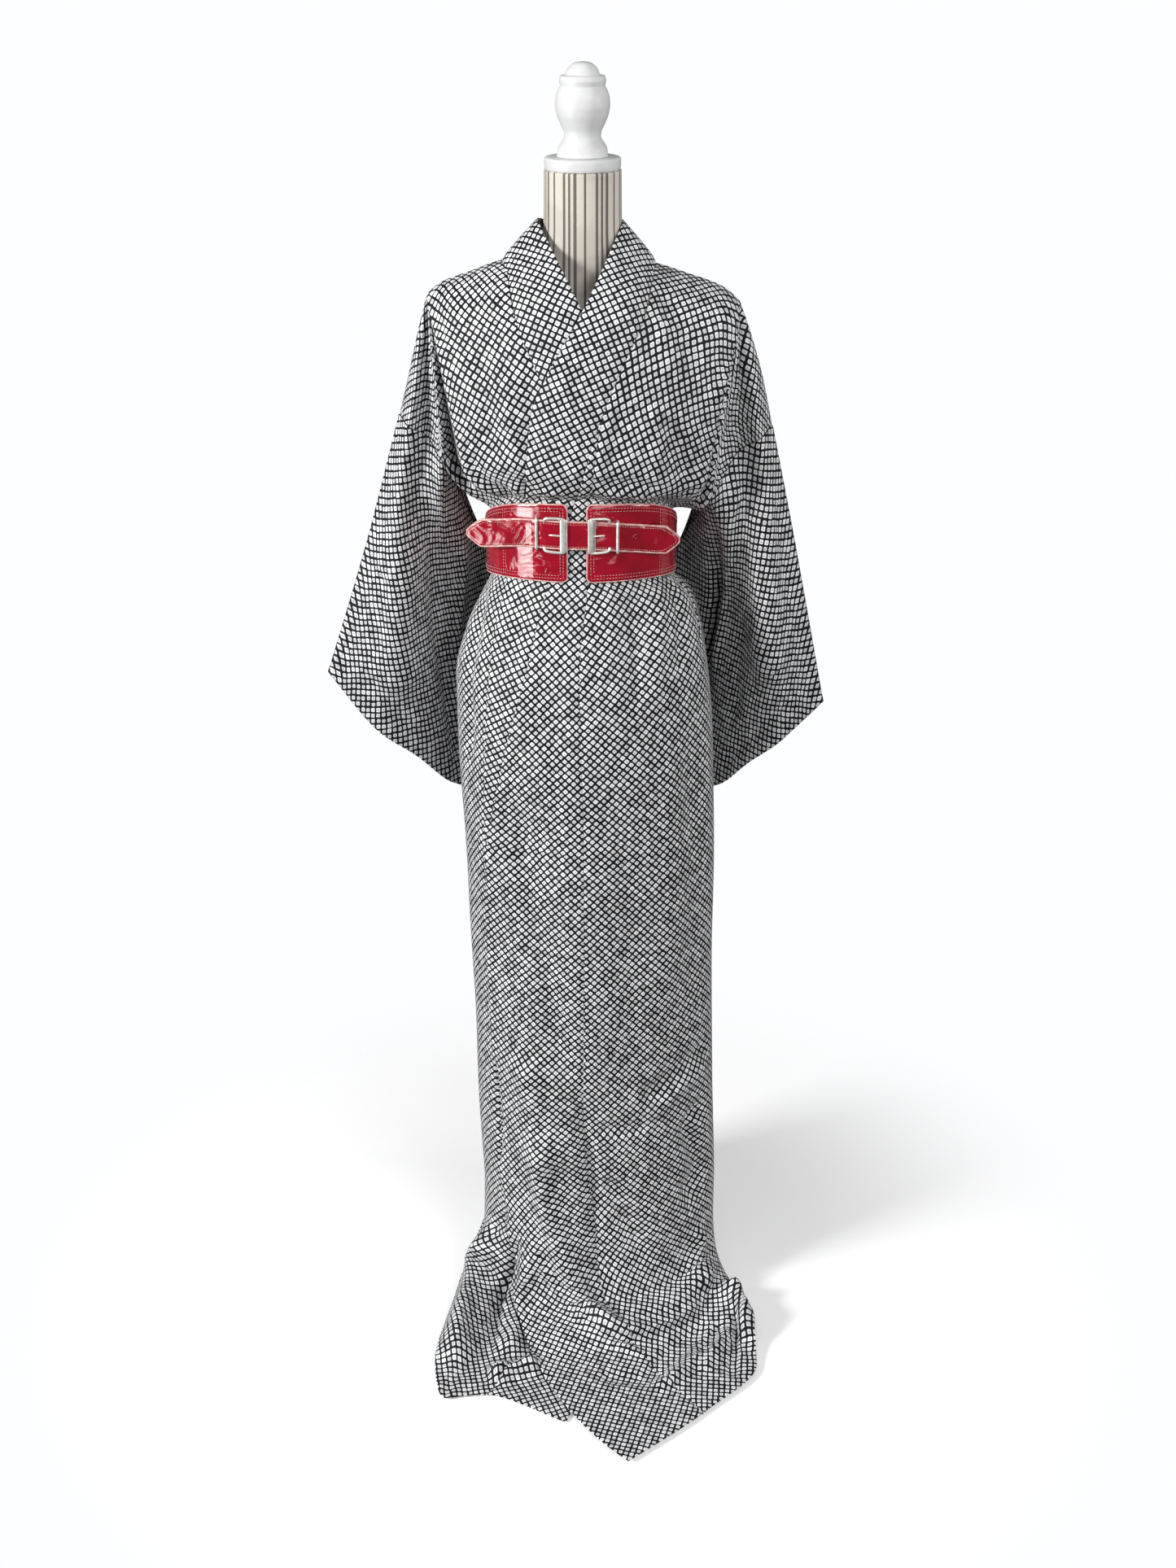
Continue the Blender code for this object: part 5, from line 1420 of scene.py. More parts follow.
    def turned_wall(self, distance: Array) -> Array:
        """How much a turned hem thickens the wall at a distance from a free edge."""
        return (self.hem_wall - self.wall) * (1.0 - ease(self.hem_width, self.hem_width + 0.003, distance))

    def thickness(self, grid: Array) -> Array:
        """Wall of a face, doubled within the turned hem at its foot."""
        return self.wall + self.turned_wall(run_length(grid[::-1])[::-1])

    def place(self, name: str, row: float, side: float) -> float:
        """Place across where a line crosses a row of one front."""
        return self.lines.place(self.drape, name, row, side)

    def level(self, row: float, side: float) -> float:
        """Height of a row of one front, beside the centre line."""
        return self.drape.point(np.array([side * 0.1]), np.array([row]), Face.FRONT)[0, 2]

    def body(self, side: float) -> bpy.types.Object:
        """One body length, from the front hem over the shoulder to the back hem."""
        tag = LAYER_NAMES[side]
        inset = self.seam_gap
        shares = crowded(48, 0.03, 4)

        def front_bounds(row: float) -> tuple[float, float]:
            """Inner and outer place of a front row."""
            if row == 0.0:
                return side * self.neck_share, side
            return self.place(tag + "_inner", row, side) + side * inset, back_bounds(row)[1]

        def back_bounds(row: float) -> tuple[float, float]:
            """Inner and outer place of a back row."""
            return side * inset, side * (1.0 if row < 1.5 else 1.0 - inset)

        front = self.patch(front_bounds, shares, side, Face.FRONT, (1.002, 3.998), True)
        places = np.concatenate([np.linspace(inset, self.neck_share, 16)[:-1],
                                 self.neck_share + (1.0 - self.neck_share) * shares])
        back_shares = (places - inset) / (1.0 - inset)
        back = self.patch(back_bounds, back_shares, side, Face.BACK, (7.0, 4.002), False)
        front_cut = self.cut_places(front, side * 0.5, shares, -1.0)
        back_cut = self.cut_places(back, side * 0.5, back_shares, 1.0)
        turn = len(places) - len(shares)
        length = np.concatenate([front["points"][::-1], back["points"][1:, turn:]])
        firm = np.concatenate([front["firm"][::-1], back["firm"][1:, turn:]])
        whole = relaxed_cut(length, np.concatenate([front_cut[::-1], back_cut[1:, turn:]]), firm)
        front_cut = whole[:len(front_cut)][::-1]
        back_side = whole[len(front_cut) - 1:]
        across = back_cut[:, :turn, 0] - back_cut[:, turn:turn + 1, 0] + back_side[:, :1, 0]
        centre = np.stack([across, back_side[:, :1, 1] + 0.0 * across], axis=-1)
        back_cut = np.concatenate([centre, back_side], axis=1)
        keys, angles = zip(*self.chest_turns[0 if side > 0 else 1])
        middle = front_cut[np.searchsorted(self.rows, self.chest_row), front_cut.shape[1] // 2]
        rows = np.concatenate([self.rows, np.full(len(front_cut) - len(self.rows), 4.0)])
        front_cut, back_cut = (turned_cut(cut, middle, np.interp(sign * rows[:len(cut)], keys, angles))
                               for cut, sign in ((front_cut, 1.0), (back_cut, -1.0)))

        grids = []
        for face in (front, back):
            points = face["points"]
            normals = self.grid_normals(points)
            grids.append(self.creased(points - normals * self.dip(run_length(points, axis=1)), normals))
        grids[1][0, turn:] = grids[0][0]
        front_numbers = numbered(grids[0].shape)
        back_numbers = numbered(grids[1].shape, front_numbers.size)
        back_numbers[0, turn:] = front_numbers[0]
        points = np.concatenate([grid.reshape(-1, 3) for grid in grids])
        uv = np.concatenate([front_cut.reshape(-1, 2), back_cut.reshape(-1, 2)])
        walls = np.concatenate([self.thickness(grid).ravel() for grid in grids])
        return self.finish_shell("kimono_body_" + SIDE_NAMES[side], points, uv, walls, front_numbers, back_numbers)

    def finish_shell(self, name: str, points: Array, uv: Array, walls: Array, *numbers: Array) -> bpy.types.Object:
        """Turn every face outward, drop points that no face uses, and build the wall.

        Args:
            name: object name.
            points: points of all faces.
            uv: their places in the cut.
            walls: the thickness there.
            *numbers: grid of point numbers of each face, or none when the points are one grid.

        Returns:
            The closed object.
        """
        faces = numbers or (numbered(points.shape),)
        points, uv, walls = points.reshape(-1, 3), uv.reshape(-1, 2), walls.ravel()
        quads = []
        for grid in faces:
            made = grid_quads(grid)
            middle = points[grid[grid.shape[0] // 2, grid.shape[1] // 2]]
            near = np.argmin(np.linalg.norm(points[made].mean(axis=1) - middle, axis=1))
            quads.append(faced(points, made, near, middle * LEVEL))
        quads = np.concatenate(quads)
        used, place = np.unique(quads, return_inverse=True)
        return shell(name, points[used], place.reshape(quads.shape), uv[used], walls[used])

    def okumi(self, side: float) -> bpy.types.Object:
        """One front overlap, from its tip under the collar to the hem."""
        tag = LAYER_NAMES[side]
        inset = self.seam_gap
        shares = crowded(22, 0.05, 4)

        def bounds(row: float) -> tuple[float, float] | None:
            """Outer edge and seam of a row, or None above the tip."""
            height = self.level(row, side)
            if self.lines.x("okumi", height) < self.lines.x(tag + "_seam", height) + 0.0012:
                return None
            seam = self.place("okumi", row, side) - side * inset
            if height > self.collar_end:
                return self.place(tag + "_seam", row, side) + side * inset, seam
            return self.place(tag + "_edge", row, side), seam

        grid = self.patch(bounds, shares, side, Face.FRONT, (0.0, 0.997), True)
        cut = relaxed_cut(grid["points"], self.cut_places(grid, None, shares, -1.0), grid["firm"])
        points = grid["points"]
        normals = self.grid_normals(points)
        long = run_length(points, axis=1)
        points = self.creased(points - normals * self.dip(long[:, -1:] - long), normals)
        walls = self.thickness(points)
        walls += self.turned_wall(run_length(points, axis=1)) * (walls < self.wall + 1e-6)
        return self.finish_shell("kimono_okumi_" + SIDE_NAMES[side], points, cut, walls)

    def collar_front(self, side: float, shares: Array) -> Array:
        """Cross rows of the collar on one front, from the shoulder down to its end."""
        tag = LAYER_NAMES[side]
        rows = []
        for row in self.rows[4:]:
            if self.level(row, side) < self.collar_end:
                break
            seam = self.place(tag + "_seam", row, side) - side * self.seam_gap
            across = seam + (self.place(tag + "_edge", row, side) - seam) * shares
            down = np.full_like(across, row)
            rows.append(self.drape.lifted(across, down, Face.FRONT, self.drape.front_lift(across, down, side)))
        return np.array(rows)

    def collar(self) -> bpy.types.Object:
        """The collar band, from the left front's end round the neck to the right front's end."""
        shares = crowded(13, 0.09, 3)
        left = self.collar_front(1.0, shares)[::-1]
        right = self.collar_front(-1.0, shares)
        neck = []
        for side, row in ([(1.0, row) for row in reversed(self.collar_neck)]
                          + [(-1.0, row) for row in self.collar_neck[1:]]):
            x = side * (self.collar_left_share if side > 0 else 1.0)
            neck.append(((x * row[0], row[1], row[2]), (x * row[3], row[4], row[5])))
        ends = np.array([(left[-1, 0], left[-1, -1]), *neck, (right[0, 0], right[0, -1])])
        long = run_length(ends.mean(axis=1))
        fine = np.linspace(0.0, long[-1], 70)[1:-1]
        ends = hermite(long, ends, fine)
        bow = 0.0015 * np.sin(math.pi * shares)
        around = ends[:, :1] + (ends[:, 1:] - ends[:, :1]) * shares[None, :, None]
        around = around + unit(around * LEVEL) * bow[None, :, None]
        points = np.concatenate([left, around, right])
        order = np.arange(len(points))
        joins = (len(left) - 0.5, len(left) + len(around) - 0.5)
        soft = sum(np.exp(-(((order - join) / 8.0) ** 2)) for join in joins)[1:-1, None, None]
        for _ in range(40):
            points[1:-1] += 0.5 * soft * (0.5 * (points[:-2] + points[2:]) - points[1:-1])
        normals = self.grid_normals(points)
        long = run_length(points, axis=1)
        roll = 0.001 * np.exp(-(((long[:, -1:] - long) / 0.004) ** 1.5))
        points = self.creased(points - normals * (self.dip(long) + roll[..., None]), normals)
        down = run_length(points.mean(axis=1))
        uv = relaxed_cut(points, np.stack([long, down[:, None] + 0.0 * long], axis=-1))
        return self.finish_shell("kimono_collar", points, uv, np.full(points.shape[:2], self.collar_wall))

    def sleeve(self, side: float) -> bpy.types.Object:
        """One sleeve: a flat bag that hangs from its seam, open at the hand and along the body side."""
        drops = np.array(self.sleeve_drops)
        places = np.concatenate([np.linspace(0.0, self.sleeve_sewn_share, 34),
                                 np.linspace(self.sleeve_sewn_share, 1.0, 46)[1:]])
        shares = crowded(76, 0.03, 4)
        layers = []
        for face in (Face.FRONT, Face.BACK):
            sections = [self.sleeve_seam(side, face, places)]
            for share, spots in self.sleeve_left if side > 0 else self.sleeve_right:
                spots = np.array(spots) * np.array((side, 1.0, 1.0))
                if face is Face.BACK:
                    bag = self.sleeve_bag * np.sin(math.pi * drops) ** 0.6
                    if share == 1.0:
                        bag = np.where(drops > 0.45, np.minimum(bag, self.sleeve_sewn), bag)
                    spots = spots + np.stack([0.2 * side * bag, bag, 0.0 * bag], axis=-1)
                sections.append(hermite(drops, spots, places))
            layers.append(hermite((0.0, 0.45, 1.0), sections, shares))
        for layer in layers:
            layer[0] += unit(layer[1] - layer[0]) * self.sleeve_seam_gap
        front, rear = layers
        normals = unit(np.cross(np.gradient(front, axis=0), np.gradient(front, axis=1)))
        normals *= np.sign(-normals[len(normals) // 2, len(places) // 3, 1])
        lines = []
        for crease in SLEEVE_CREASES[side]:
            i, j = (np.interp(along, steps, np.arange(len(steps))).round().astype(int)
                    for along, steps in zip(crease.line.T, (shares, places)))
            lines.append((crease, front[i, j]))
        relief = crease_relief(front.reshape(-1, 3), normals.reshape(-1, 3), lines).reshape(front.shape[:2])
        relief *= (ease(0.0, 0.05, shares) * (1.0 - 0.55 * ease(0.9, 1.0, shares)))[:, None]
        sewn = ease(0.0, 0.05, places) * ease(0.0, 0.05, 1.0 - places)
        front = front + normals * relief[..., None]
        rear = rear + normals * (0.75 * relief * sewn)[..., None]
        rear[:, -1, 1] += 0.0007
        bag = np.concatenate([front[:, ::-1], rear[:, 1:]], axis=1)
        drop = self.sleeve_depth * np.concatenate([-places[::-1], places[1:]])
        width = run_length(bag).mean(axis=1)
        uv = relaxed_cut(bag, np.stack(np.broadcast_arrays(width[:, None], drop[None]), axis=-1))
        uv = self.sleeve_print * turned_cut(uv, np.zeros(2), np.full(len(uv), self.sleeve_turn))
        walls = np.repeat(self.wall + self.turned_wall(width[-1] - width), bag.shape[1])
        points = bag.reshape(-1, 3)
        near = (len(shares) // 2) * (bag.shape[1] - 1) + len(places) // 2
        quads = faced(points, grid_quads(numbered(bag.shape)), near, np.array((0.0, -1.0, 0.0)))
        return shell("kimono_sleeve_" + SIDE_NAMES[side], points, quads, uv.reshape(-1, 2), walls)

    def sleeve_seam(self, side: float, face: Face, places: Array) -> Array:
        """The sleeve's seam on the body's rim, and its free edge below the armhole."""
        share = self.sleeve_sewn_share
        sewn = places[places <= share] / share * self.drape.armhole
        angles = np.degrees(np.arctan2(sewn, self.drape.body_span - self.drape.shoulder_span))
        rim = self.drape.rim_point(angles, side, face)
        furi = np.array(self.furi_left if side > 0 else self.furi_right) * np.array((side, 1.0, 1.0))
        if face is Face.BACK:
            furi[0, 1] += self.sleeve_bag
        free = hermite((share, 0.73, 1.0), np.vstack([rim[-1:], furi]), places[len(sewn):])
        return np.vstack([rim, free])

    def build(self) -> None:
        """Build and finish every piece."""
        for side, tag in ((1.0, "left"), (-1.0, "right")):
            body = self.wardrobe.dress(self.body(side), Finish.SILK, "cloth", "body_" + tag)
            okumi = self.wardrobe.dress(self.okumi(side), Finish.SILK, "cloth", "okumi_" + tag)
            sleeve = self.wardrobe.dress(self.sleeve(side), Finish.SILK, "cloth", "sleeve_" + tag)
        collar = self.wardrobe.dress(self.collar(), Finish.SILK, "cloth", "collar")


@dataclass
class Belt:
    """The wide belt: a band with two flaps, a strap pointed at both ends, and its metal."""

    wardrobe: Wardrobe
    wall: float = 0.0028
    strap_wall: float = 0.0026
    strap_width: float = 0.032
    strap_ends: tuple[float, float] = (-0.136, 0.113)
    gap: tuple[float, float] = (-0.0185, 0.005)
    low: tuple[float, float] = (1.031, 1.018)
    high: tuple[float, float] = (1.124, 1.084)
    strap_z: float = 1.0885
    strap_leaves: tuple[float, float] = (-0.066, 0.062)
    strap_straight: float = 0.75
    waist: tuple[float, float, float, float] = (0.1045, 0.109, 0.085, 0.086)
    roundness: float = 0.92
    lift: float = 0.0042 + 0.0009 + 0.0005 + 0.0014
    buckle_x: tuple[float, float] = (-0.033, 0.019)
    buckle_size: tuple[float, float, float] = (0.026, 0.042, 0.0035)
    keeper_x: tuple[float, float] = (-0.054, 0.0405)
    seam_x: tuple[float, float] = (-0.0915, 0.091)
    corner: float = 0.006
    thread: float = 0.00042

    @property
    def strap_lift(self) -> float:
        """Outward offset of the strap's middle surface."""
        return self.lift + 0.5 * self.wall + 0.0006 + 0.5 * self.strap_wall

    def ring(self, angle: Array, lift: float) -> Array:
        """Points of the waist at angles from the front, moved outward."""
        width = np.where(np.sin(angle) >= 0.0, self.waist[0], self.waist[1]) + lift
        depth = np.where(np.cos(angle) >= 0.0, self.waist[2], self.waist[3]) + lift
        turn = np.cos(angle)
        return np.stack([width * np.sin(angle), -np.sign(turn) * depth * np.abs(turn) ** self.roundness], axis=-1)

    def angle(self, x: float, lift: float) -> float:
        """Angle at which the front of the waist reaches an x."""
        width = (self.waist[0] if x >= 0.0 else self.waist[1]) + lift
        return math.asin(max(-1.0, min(1.0, x / width)))

    def edges(self, angle: Array) -> tuple[Array, Array]:
        """Heights of the belt's lower and upper edge."""
        share = 1.0 - (1.0 - np.maximum(0.0, np.cos(angle))) ** 1.5
        return tuple(behind + (front - behind) * share for front, behind in (self.low, self.high))

    def band_grid(self, inset: float, columns: int, parts: Array) -> tuple[Array, Array]:
        """Grid of the band's outer line, drawn in from its edges by an inset, with its normals."""
        start = self.angle(self.gap[1], self.lift)
        end = FULL_TURN + self.angle(self.gap[0], self.lift)
        fine = np.linspace(start, end, 721)
        long = run_length(np.column_stack([self.ring(fine, self.lift), np.zeros(len(fine))]))
        shares = crowded(columns, 0.012, 8)
        reach = inset + (long[-1] - 2.0 * inset) * shares
        angle = np.interp(reach, long, fine)
        flat = self.ring(angle, self.lift)
        low, high = self.edges(angle)
        near = np.minimum(reach, long[-1] - reach) - inset
        radius = max(self.corner - inset, 0.0015)
        cut = np.where(near < radius, radius - np.sqrt(np.maximum(radius**2 - (radius - near) ** 2, 0.0)), 0.0)
        low = low + inset + cut
        high = high - inset - cut
        z = low[:, None] + (high - low)[:, None] * parts
        points = np.concatenate([np.broadcast_to(flat[:, None, :], (*z.shape, 2)), z[..., None]], axis=-1)
        normal = self.level_normal(flat)
        normal *= np.sign((normal[:, :2] * flat).sum(1))[:, None]
        return points, np.broadcast_to(normal[:, None, :], points.shape)

    def level_normal(self, line: Array) -> Array:
        """Level normals of a line seen from above."""
        way = unit(np.gradient(line[:, :2], axis=0))
        return np.column_stack([way[:, 1], -way[:, 0], np.zeros(len(way))])

    def outline(self, points: Array, normals: Array) -> tuple[Array, Array]:
        """Border of a grid as one closed line, with its normals."""
        pick = [(i, 0) for i in range(len(points))] + [(-1, j) for j in range(1, points.shape[1])]
        pick += [(i, -1) for i in reversed(range(len(points) - 1))]
        pick += [(0, j) for j in reversed(range(1, points.shape[1] - 1))]
        line, out = (np.array([grid[spot] for spot in pick]) for grid in (points, normals))
        keep = np.insert(np.linalg.norm(np.diff(line, axis=0), axis=1) > 1e-5, 0, True)
        return line[keep], out[keep]

    def leather(self, name: str, points: Array, wall: float, node: str) -> bpy.types.Object:
        """A leather piece with a wall that thins at its edges."""
        along = run_length(points)
        up = run_length(points, axis=1)
        edge = np.minimum(np.minimum(along, along[-1:] - along), np.minimum(up, up[:, -1:] - up))
        walls = wall * (0.55 + 0.45 * ease(0.0, 0.0022, edge))
        flat = points.reshape(-1, 3)
        quads = grid_quads(numbered(points.shape))
        near = len(quads) // 2
        quads = faced(flat, quads, near, flat[quads[near, 0]] * LEVEL)
        made = shell(name, flat, quads, np.stack([along, up], axis=-1).reshape(-1, 2), walls.ravel())
        return self.wardrobe.dress(made, Finish.LEATHER, "belt", node)

    def binding(self, name: str, points: Array, normals: Array, radius: float) -> None:
        """Turned edge all round a leather piece."""
        line, _ = self.outline(points, normals)
        self.wardrobe.dress(tube(name, line, radius, closed=True), Finish.BINDING, "belt")

    def band(self) -> None:
        """Band round the waist, with its bound edges, stitch rows and cross seams."""
        parts = np.concatenate([[0.0, 0.012, 0.03, 0.06], np.linspace(0.12, 0.88, 10), [0.94, 0.97, 0.988, 1.0]])
        points, normals = self.band_grid(0.0, 200, parts)
        self.leather("belt_band_leather", points, self.wall, "belt_band")
        self.binding("belt_band_binding", points, normals, 0.00105)
        paths, outs = [], []
        for inset in (0.0042, 0.0078):
            points, normals = self.band_grid(inset, 240, np.linspace(0.0, 1.0, 40))
            line, out = self.outline(points, normals)
            paths.append(line + out * 0.5 * self.wall)
            outs.append(out)
        for x in self.seam_x:
            for step in (-0.0013, 0.0013):
                angle = np.full(40, self.angle(x + step, self.lift))
                low, high = self.edges(angle)
                flat = self.ring(angle, self.lift)
                z = np.linspace(low[0] + 0.003, high[0] - 0.003, 40)
                out = np.column_stack([unit(flat / np.array([self.waist[0], self.waist[2]])), np.zeros(40)])
                paths.append(np.column_stack([flat, z]) + out * 0.5 * self.wall)
                outs.append(out)
        thread = stitches("belt_band_stitches", paths, outs, 0.0026, 0.0011, self.thread)
        self.wardrobe.dress(thread, Finish.THREAD, "belt")

    def strap_y(self, x: float, lift: float) -> float:
        """Y of the strap at an x: on the waist in the middle, and straight on past it at both ends."""
        leave = self.strap_leaves[0] if x < 0.0 else self.strap_leaves[1]
        if abs(x) <= abs(leave):
            return float(self.ring(np.array(self.angle(x, lift)), lift)[1])
        near, nearer = (float(self.ring(np.array(self.angle(share * leave, lift)), lift)[1]) for share in (1.0, 0.97))
        return near + (near - nearer) / (0.03 * leave) * (x - leave) * self.strap_straight

    def strap_middle(self, x: float) -> float:
        """Height of the strap's middle line: it sinks towards both ends."""
        return self.strap_z - 0.008 * float(ease(0.05, 0.14, -x)) - 0.0155 * float(ease(0.0, 0.13, x))

    def strap_grid(self, inset: float, columns: int, parts: Array) -> tuple[Array, Array]:
        """Grid of the strap, drawn in by an inset, with its normals."""
        half = 0.5 * self.strap_width - inset
        point = 0.016
        first, last = self.strap_ends[0] + 1.5 * inset, self.strap_ends[1] - 1.5 * inset
        xs = first + (last - first) * crowded(columns, 0.075, 9)
        points = []
        for x in xs:
            near = min(x - first, last - x)
            share = min(1.0, near / point)
            height = half * (0.16 + 0.84 * share ** 0.86)
            y = self.strap_y(x, self.strap_lift)
            points.append([(x, y, self.strap_middle(x) + height * part) for part in parts])
        points = np.array(points)
        normal = self.level_normal(points[:, 0])
        normal *= -np.sign(normal[:, 1:2])
        return points, np.broadcast_to(normal[:, None, :], points.shape)

    def strap(self) -> None:
        """Strap pointed at both ends, with its bound edge, its stitches and two holes."""
        parts = np.array((-1.0, -0.96, -0.88, -0.7, -0.45, -0.15, 0.15, 0.45, 0.7, 0.88, 0.96, 1.0))
        points, normals = self.strap_grid(0.0, 120, parts)
        self.leather("belt_strap_leather", points, self.strap_wall, "belt_strap")
        self.binding("belt_strap_binding", points, normals, 0.0014)
        points, normals = self.strap_grid(0.0027, 160, np.linspace(-1.0, 1.0, 20))
        line, out = self.outline(points, normals)
        thread = stitches("belt_strap_stitches", [line + out * 0.5 * self.strap_wall], [out], 0.0022, 0.001,
                          self.thread)
        self.wardrobe.dress(thread, Finish.THREAD, "belt")
        for name, x in (("right", -0.081), ("left", 0.061)):
            ring = [(x + 0.0022 * math.cos(a), self.strap_y(x + 0.0022 * math.cos(a), self.strap_lift)
                     - 0.5 * self.strap_wall - 0.0001, self.strap_middle(x) + 0.0025 + 0.0026 * math.sin(a))
                    for a in np.linspace(0.0, FULL_TURN, 24, endpoint=False)]
            rim = tube("belt_hole_" + name, np.array(ring), 0.0007, closed=True)
            self.wardrobe.dress(rim, Finish.LEATHER, "belt")

    def metal(self, name: str, path: Array, radius: float, *nodes: str, sides: int = 12) -> None:
        """Round metal wire along a path."""
        self.wardrobe.dress(tube(name, path, radius, sides=sides), Finish.NICKEL, "metal", *nodes)

    def buckle(self, name: str, number: int) -> None:
        """Rectangular buckle: a broad front bar, two thin arms that bend back round the strap, and a pin."""
        x = self.buckle_x[number]
        inward = 1.0 if number == 0 else -1.0
        width, height, thick = self.buckle_size
        lift = self.strap_lift + 0.5 * self.strap_wall - 0.0002 + 0.5 * thick

        def place(dx: float, dz: float, deep: float = 0.0) -> Place:
            """Point on the buckle's own plane, or behind it."""
            here = self.strap_y(x, lift)
            slope = (self.strap_y(x + 0.004, lift) - self.strap_y(x - 0.004, lift)) / 0.008
            return (x + inward * dx, here + slope * inward * dx + deep, self.strap_z + dz)

        half_w, half_h = 0.5 * width, 0.5 * height
        arm = ((half_w - 0.004, half_h - 0.0008, 0.0), (0.004, half_h - 0.0006, 0.0003),
               (-half_w + 0.01, half_h - 0.0008, 0.0006), (-half_w + 0.0045, half_h - 0.0014, 0.001),
               (-half_w + 0.0016, half_h - 0.003, 0.0018), (-half_w + 0.001, half_h - 0.0058, 0.0032))
        for tag, sign in (("top_", 1.0), ("foot_", -1.0)):
            line = np.array([place(dx, sign * dz, deep) for dx, dz, deep in curve(arm, 24)])
            self.metal("buckle_arm_" + tag + name, line, 0.0017)
        bar = self.rounded_bar("buckle_bar_" + name, place, half_w - 0.0033, 0.0034, half_h, 0.0016)
        self.wardrobe.dress(bar, Finish.NICKEL, "metal", "buckle_" + name)
        beside = half_w - 0.0033 + 0.0046 * inward
        line = np.array([place(beside, share * (half_h - 0.0018), 0.0008) for share in np.linspace(-1.0, 1.0, 12)])
        self.metal("buckle_side_" + name, line, 0.001, sides=10)
        pin = ((-0.006, -0.0004, 0.0024), (-0.0035, 0.0, 0.0011), (0.001, 0.0, 0.0005), (0.005, 0.0, 0.0001),
               (0.0085, 0.0, -0.0002))
        line = np.array([place(*spot) for spot in curve(pin, 16)])
        self.metal("buckle_pin_" + name, line, 0.0011, "prong_" + name, sides=10)

    def rounded_bar(self, name: str, place: object, dx: float, half_w: float, half_h: float,
                    half_t: float) -> bpy.types.Object:
        """An upright bar with a soft rounded section and rounded ends."""
        rings = []
        for share in (-1.0, -0.985, -0.95, -0.9, -0.5, 0.0, 0.5, 0.9, 0.95, 0.985, 1.0):
            shrink = 1.0 - max(0.0, (abs(share) - 0.9) / 0.1) ** 2 * 0.45
            for angle in np.linspace(0.0, FULL_TURN, 20, endpoint=False):
                a = math.copysign(abs(math.cos(angle)) ** 0.55, math.cos(angle)) * half_w * shrink
                b = math.copysign(abs(math.sin(angle)) ** 0.75, math.sin(angle)) * half_t * shrink
                rings.append(place(dx + a, share * half_h, b))
        rings = np.array(rings)
        numbers = numbered((11, 20))
        faces = grid_quads(numbers, closed=True).tolist() + [numbers[0][::-1].tolist(), numbers[-1].tolist()]
        return make_object(name, rings, faces)

    def keeper(self, name: str, number: int) -> None:
        """Metal loop round the strap, as a round wire whose ends turn back."""
        x = self.keeper_x[number]
        half = 0.5 * self.strap_width + 0.0022
        top = self.strap_y(x, self.strap_lift) - 0.5 * self.strap_wall
        middle = self.strap_middle(x)
        spots = [(0.0034, -half), (0.0012, -half - 0.0002), (-0.0008, -half + 0.0012), (-0.0014, -half + 0.004),
                 (-0.0014, 0.0), (-0.0014, half - 0.004), (-0.0008, half - 0.0012), (0.0012, half + 0.0002),
                 (0.0034, half)]
        path = np.array([(x, top + y, middle + z) for y, z in curve(spots, 48)])
        self.metal("keeper_loop_" + name, path, 0.0017, "keeper_" + name)

    def build(self) -> None:
        """Build and finish the belt."""
        self.band()
        self.strap()
        for number, name in enumerate(("right", "left")):
            self.buckle(name, number)
            self.keeper(name, number)


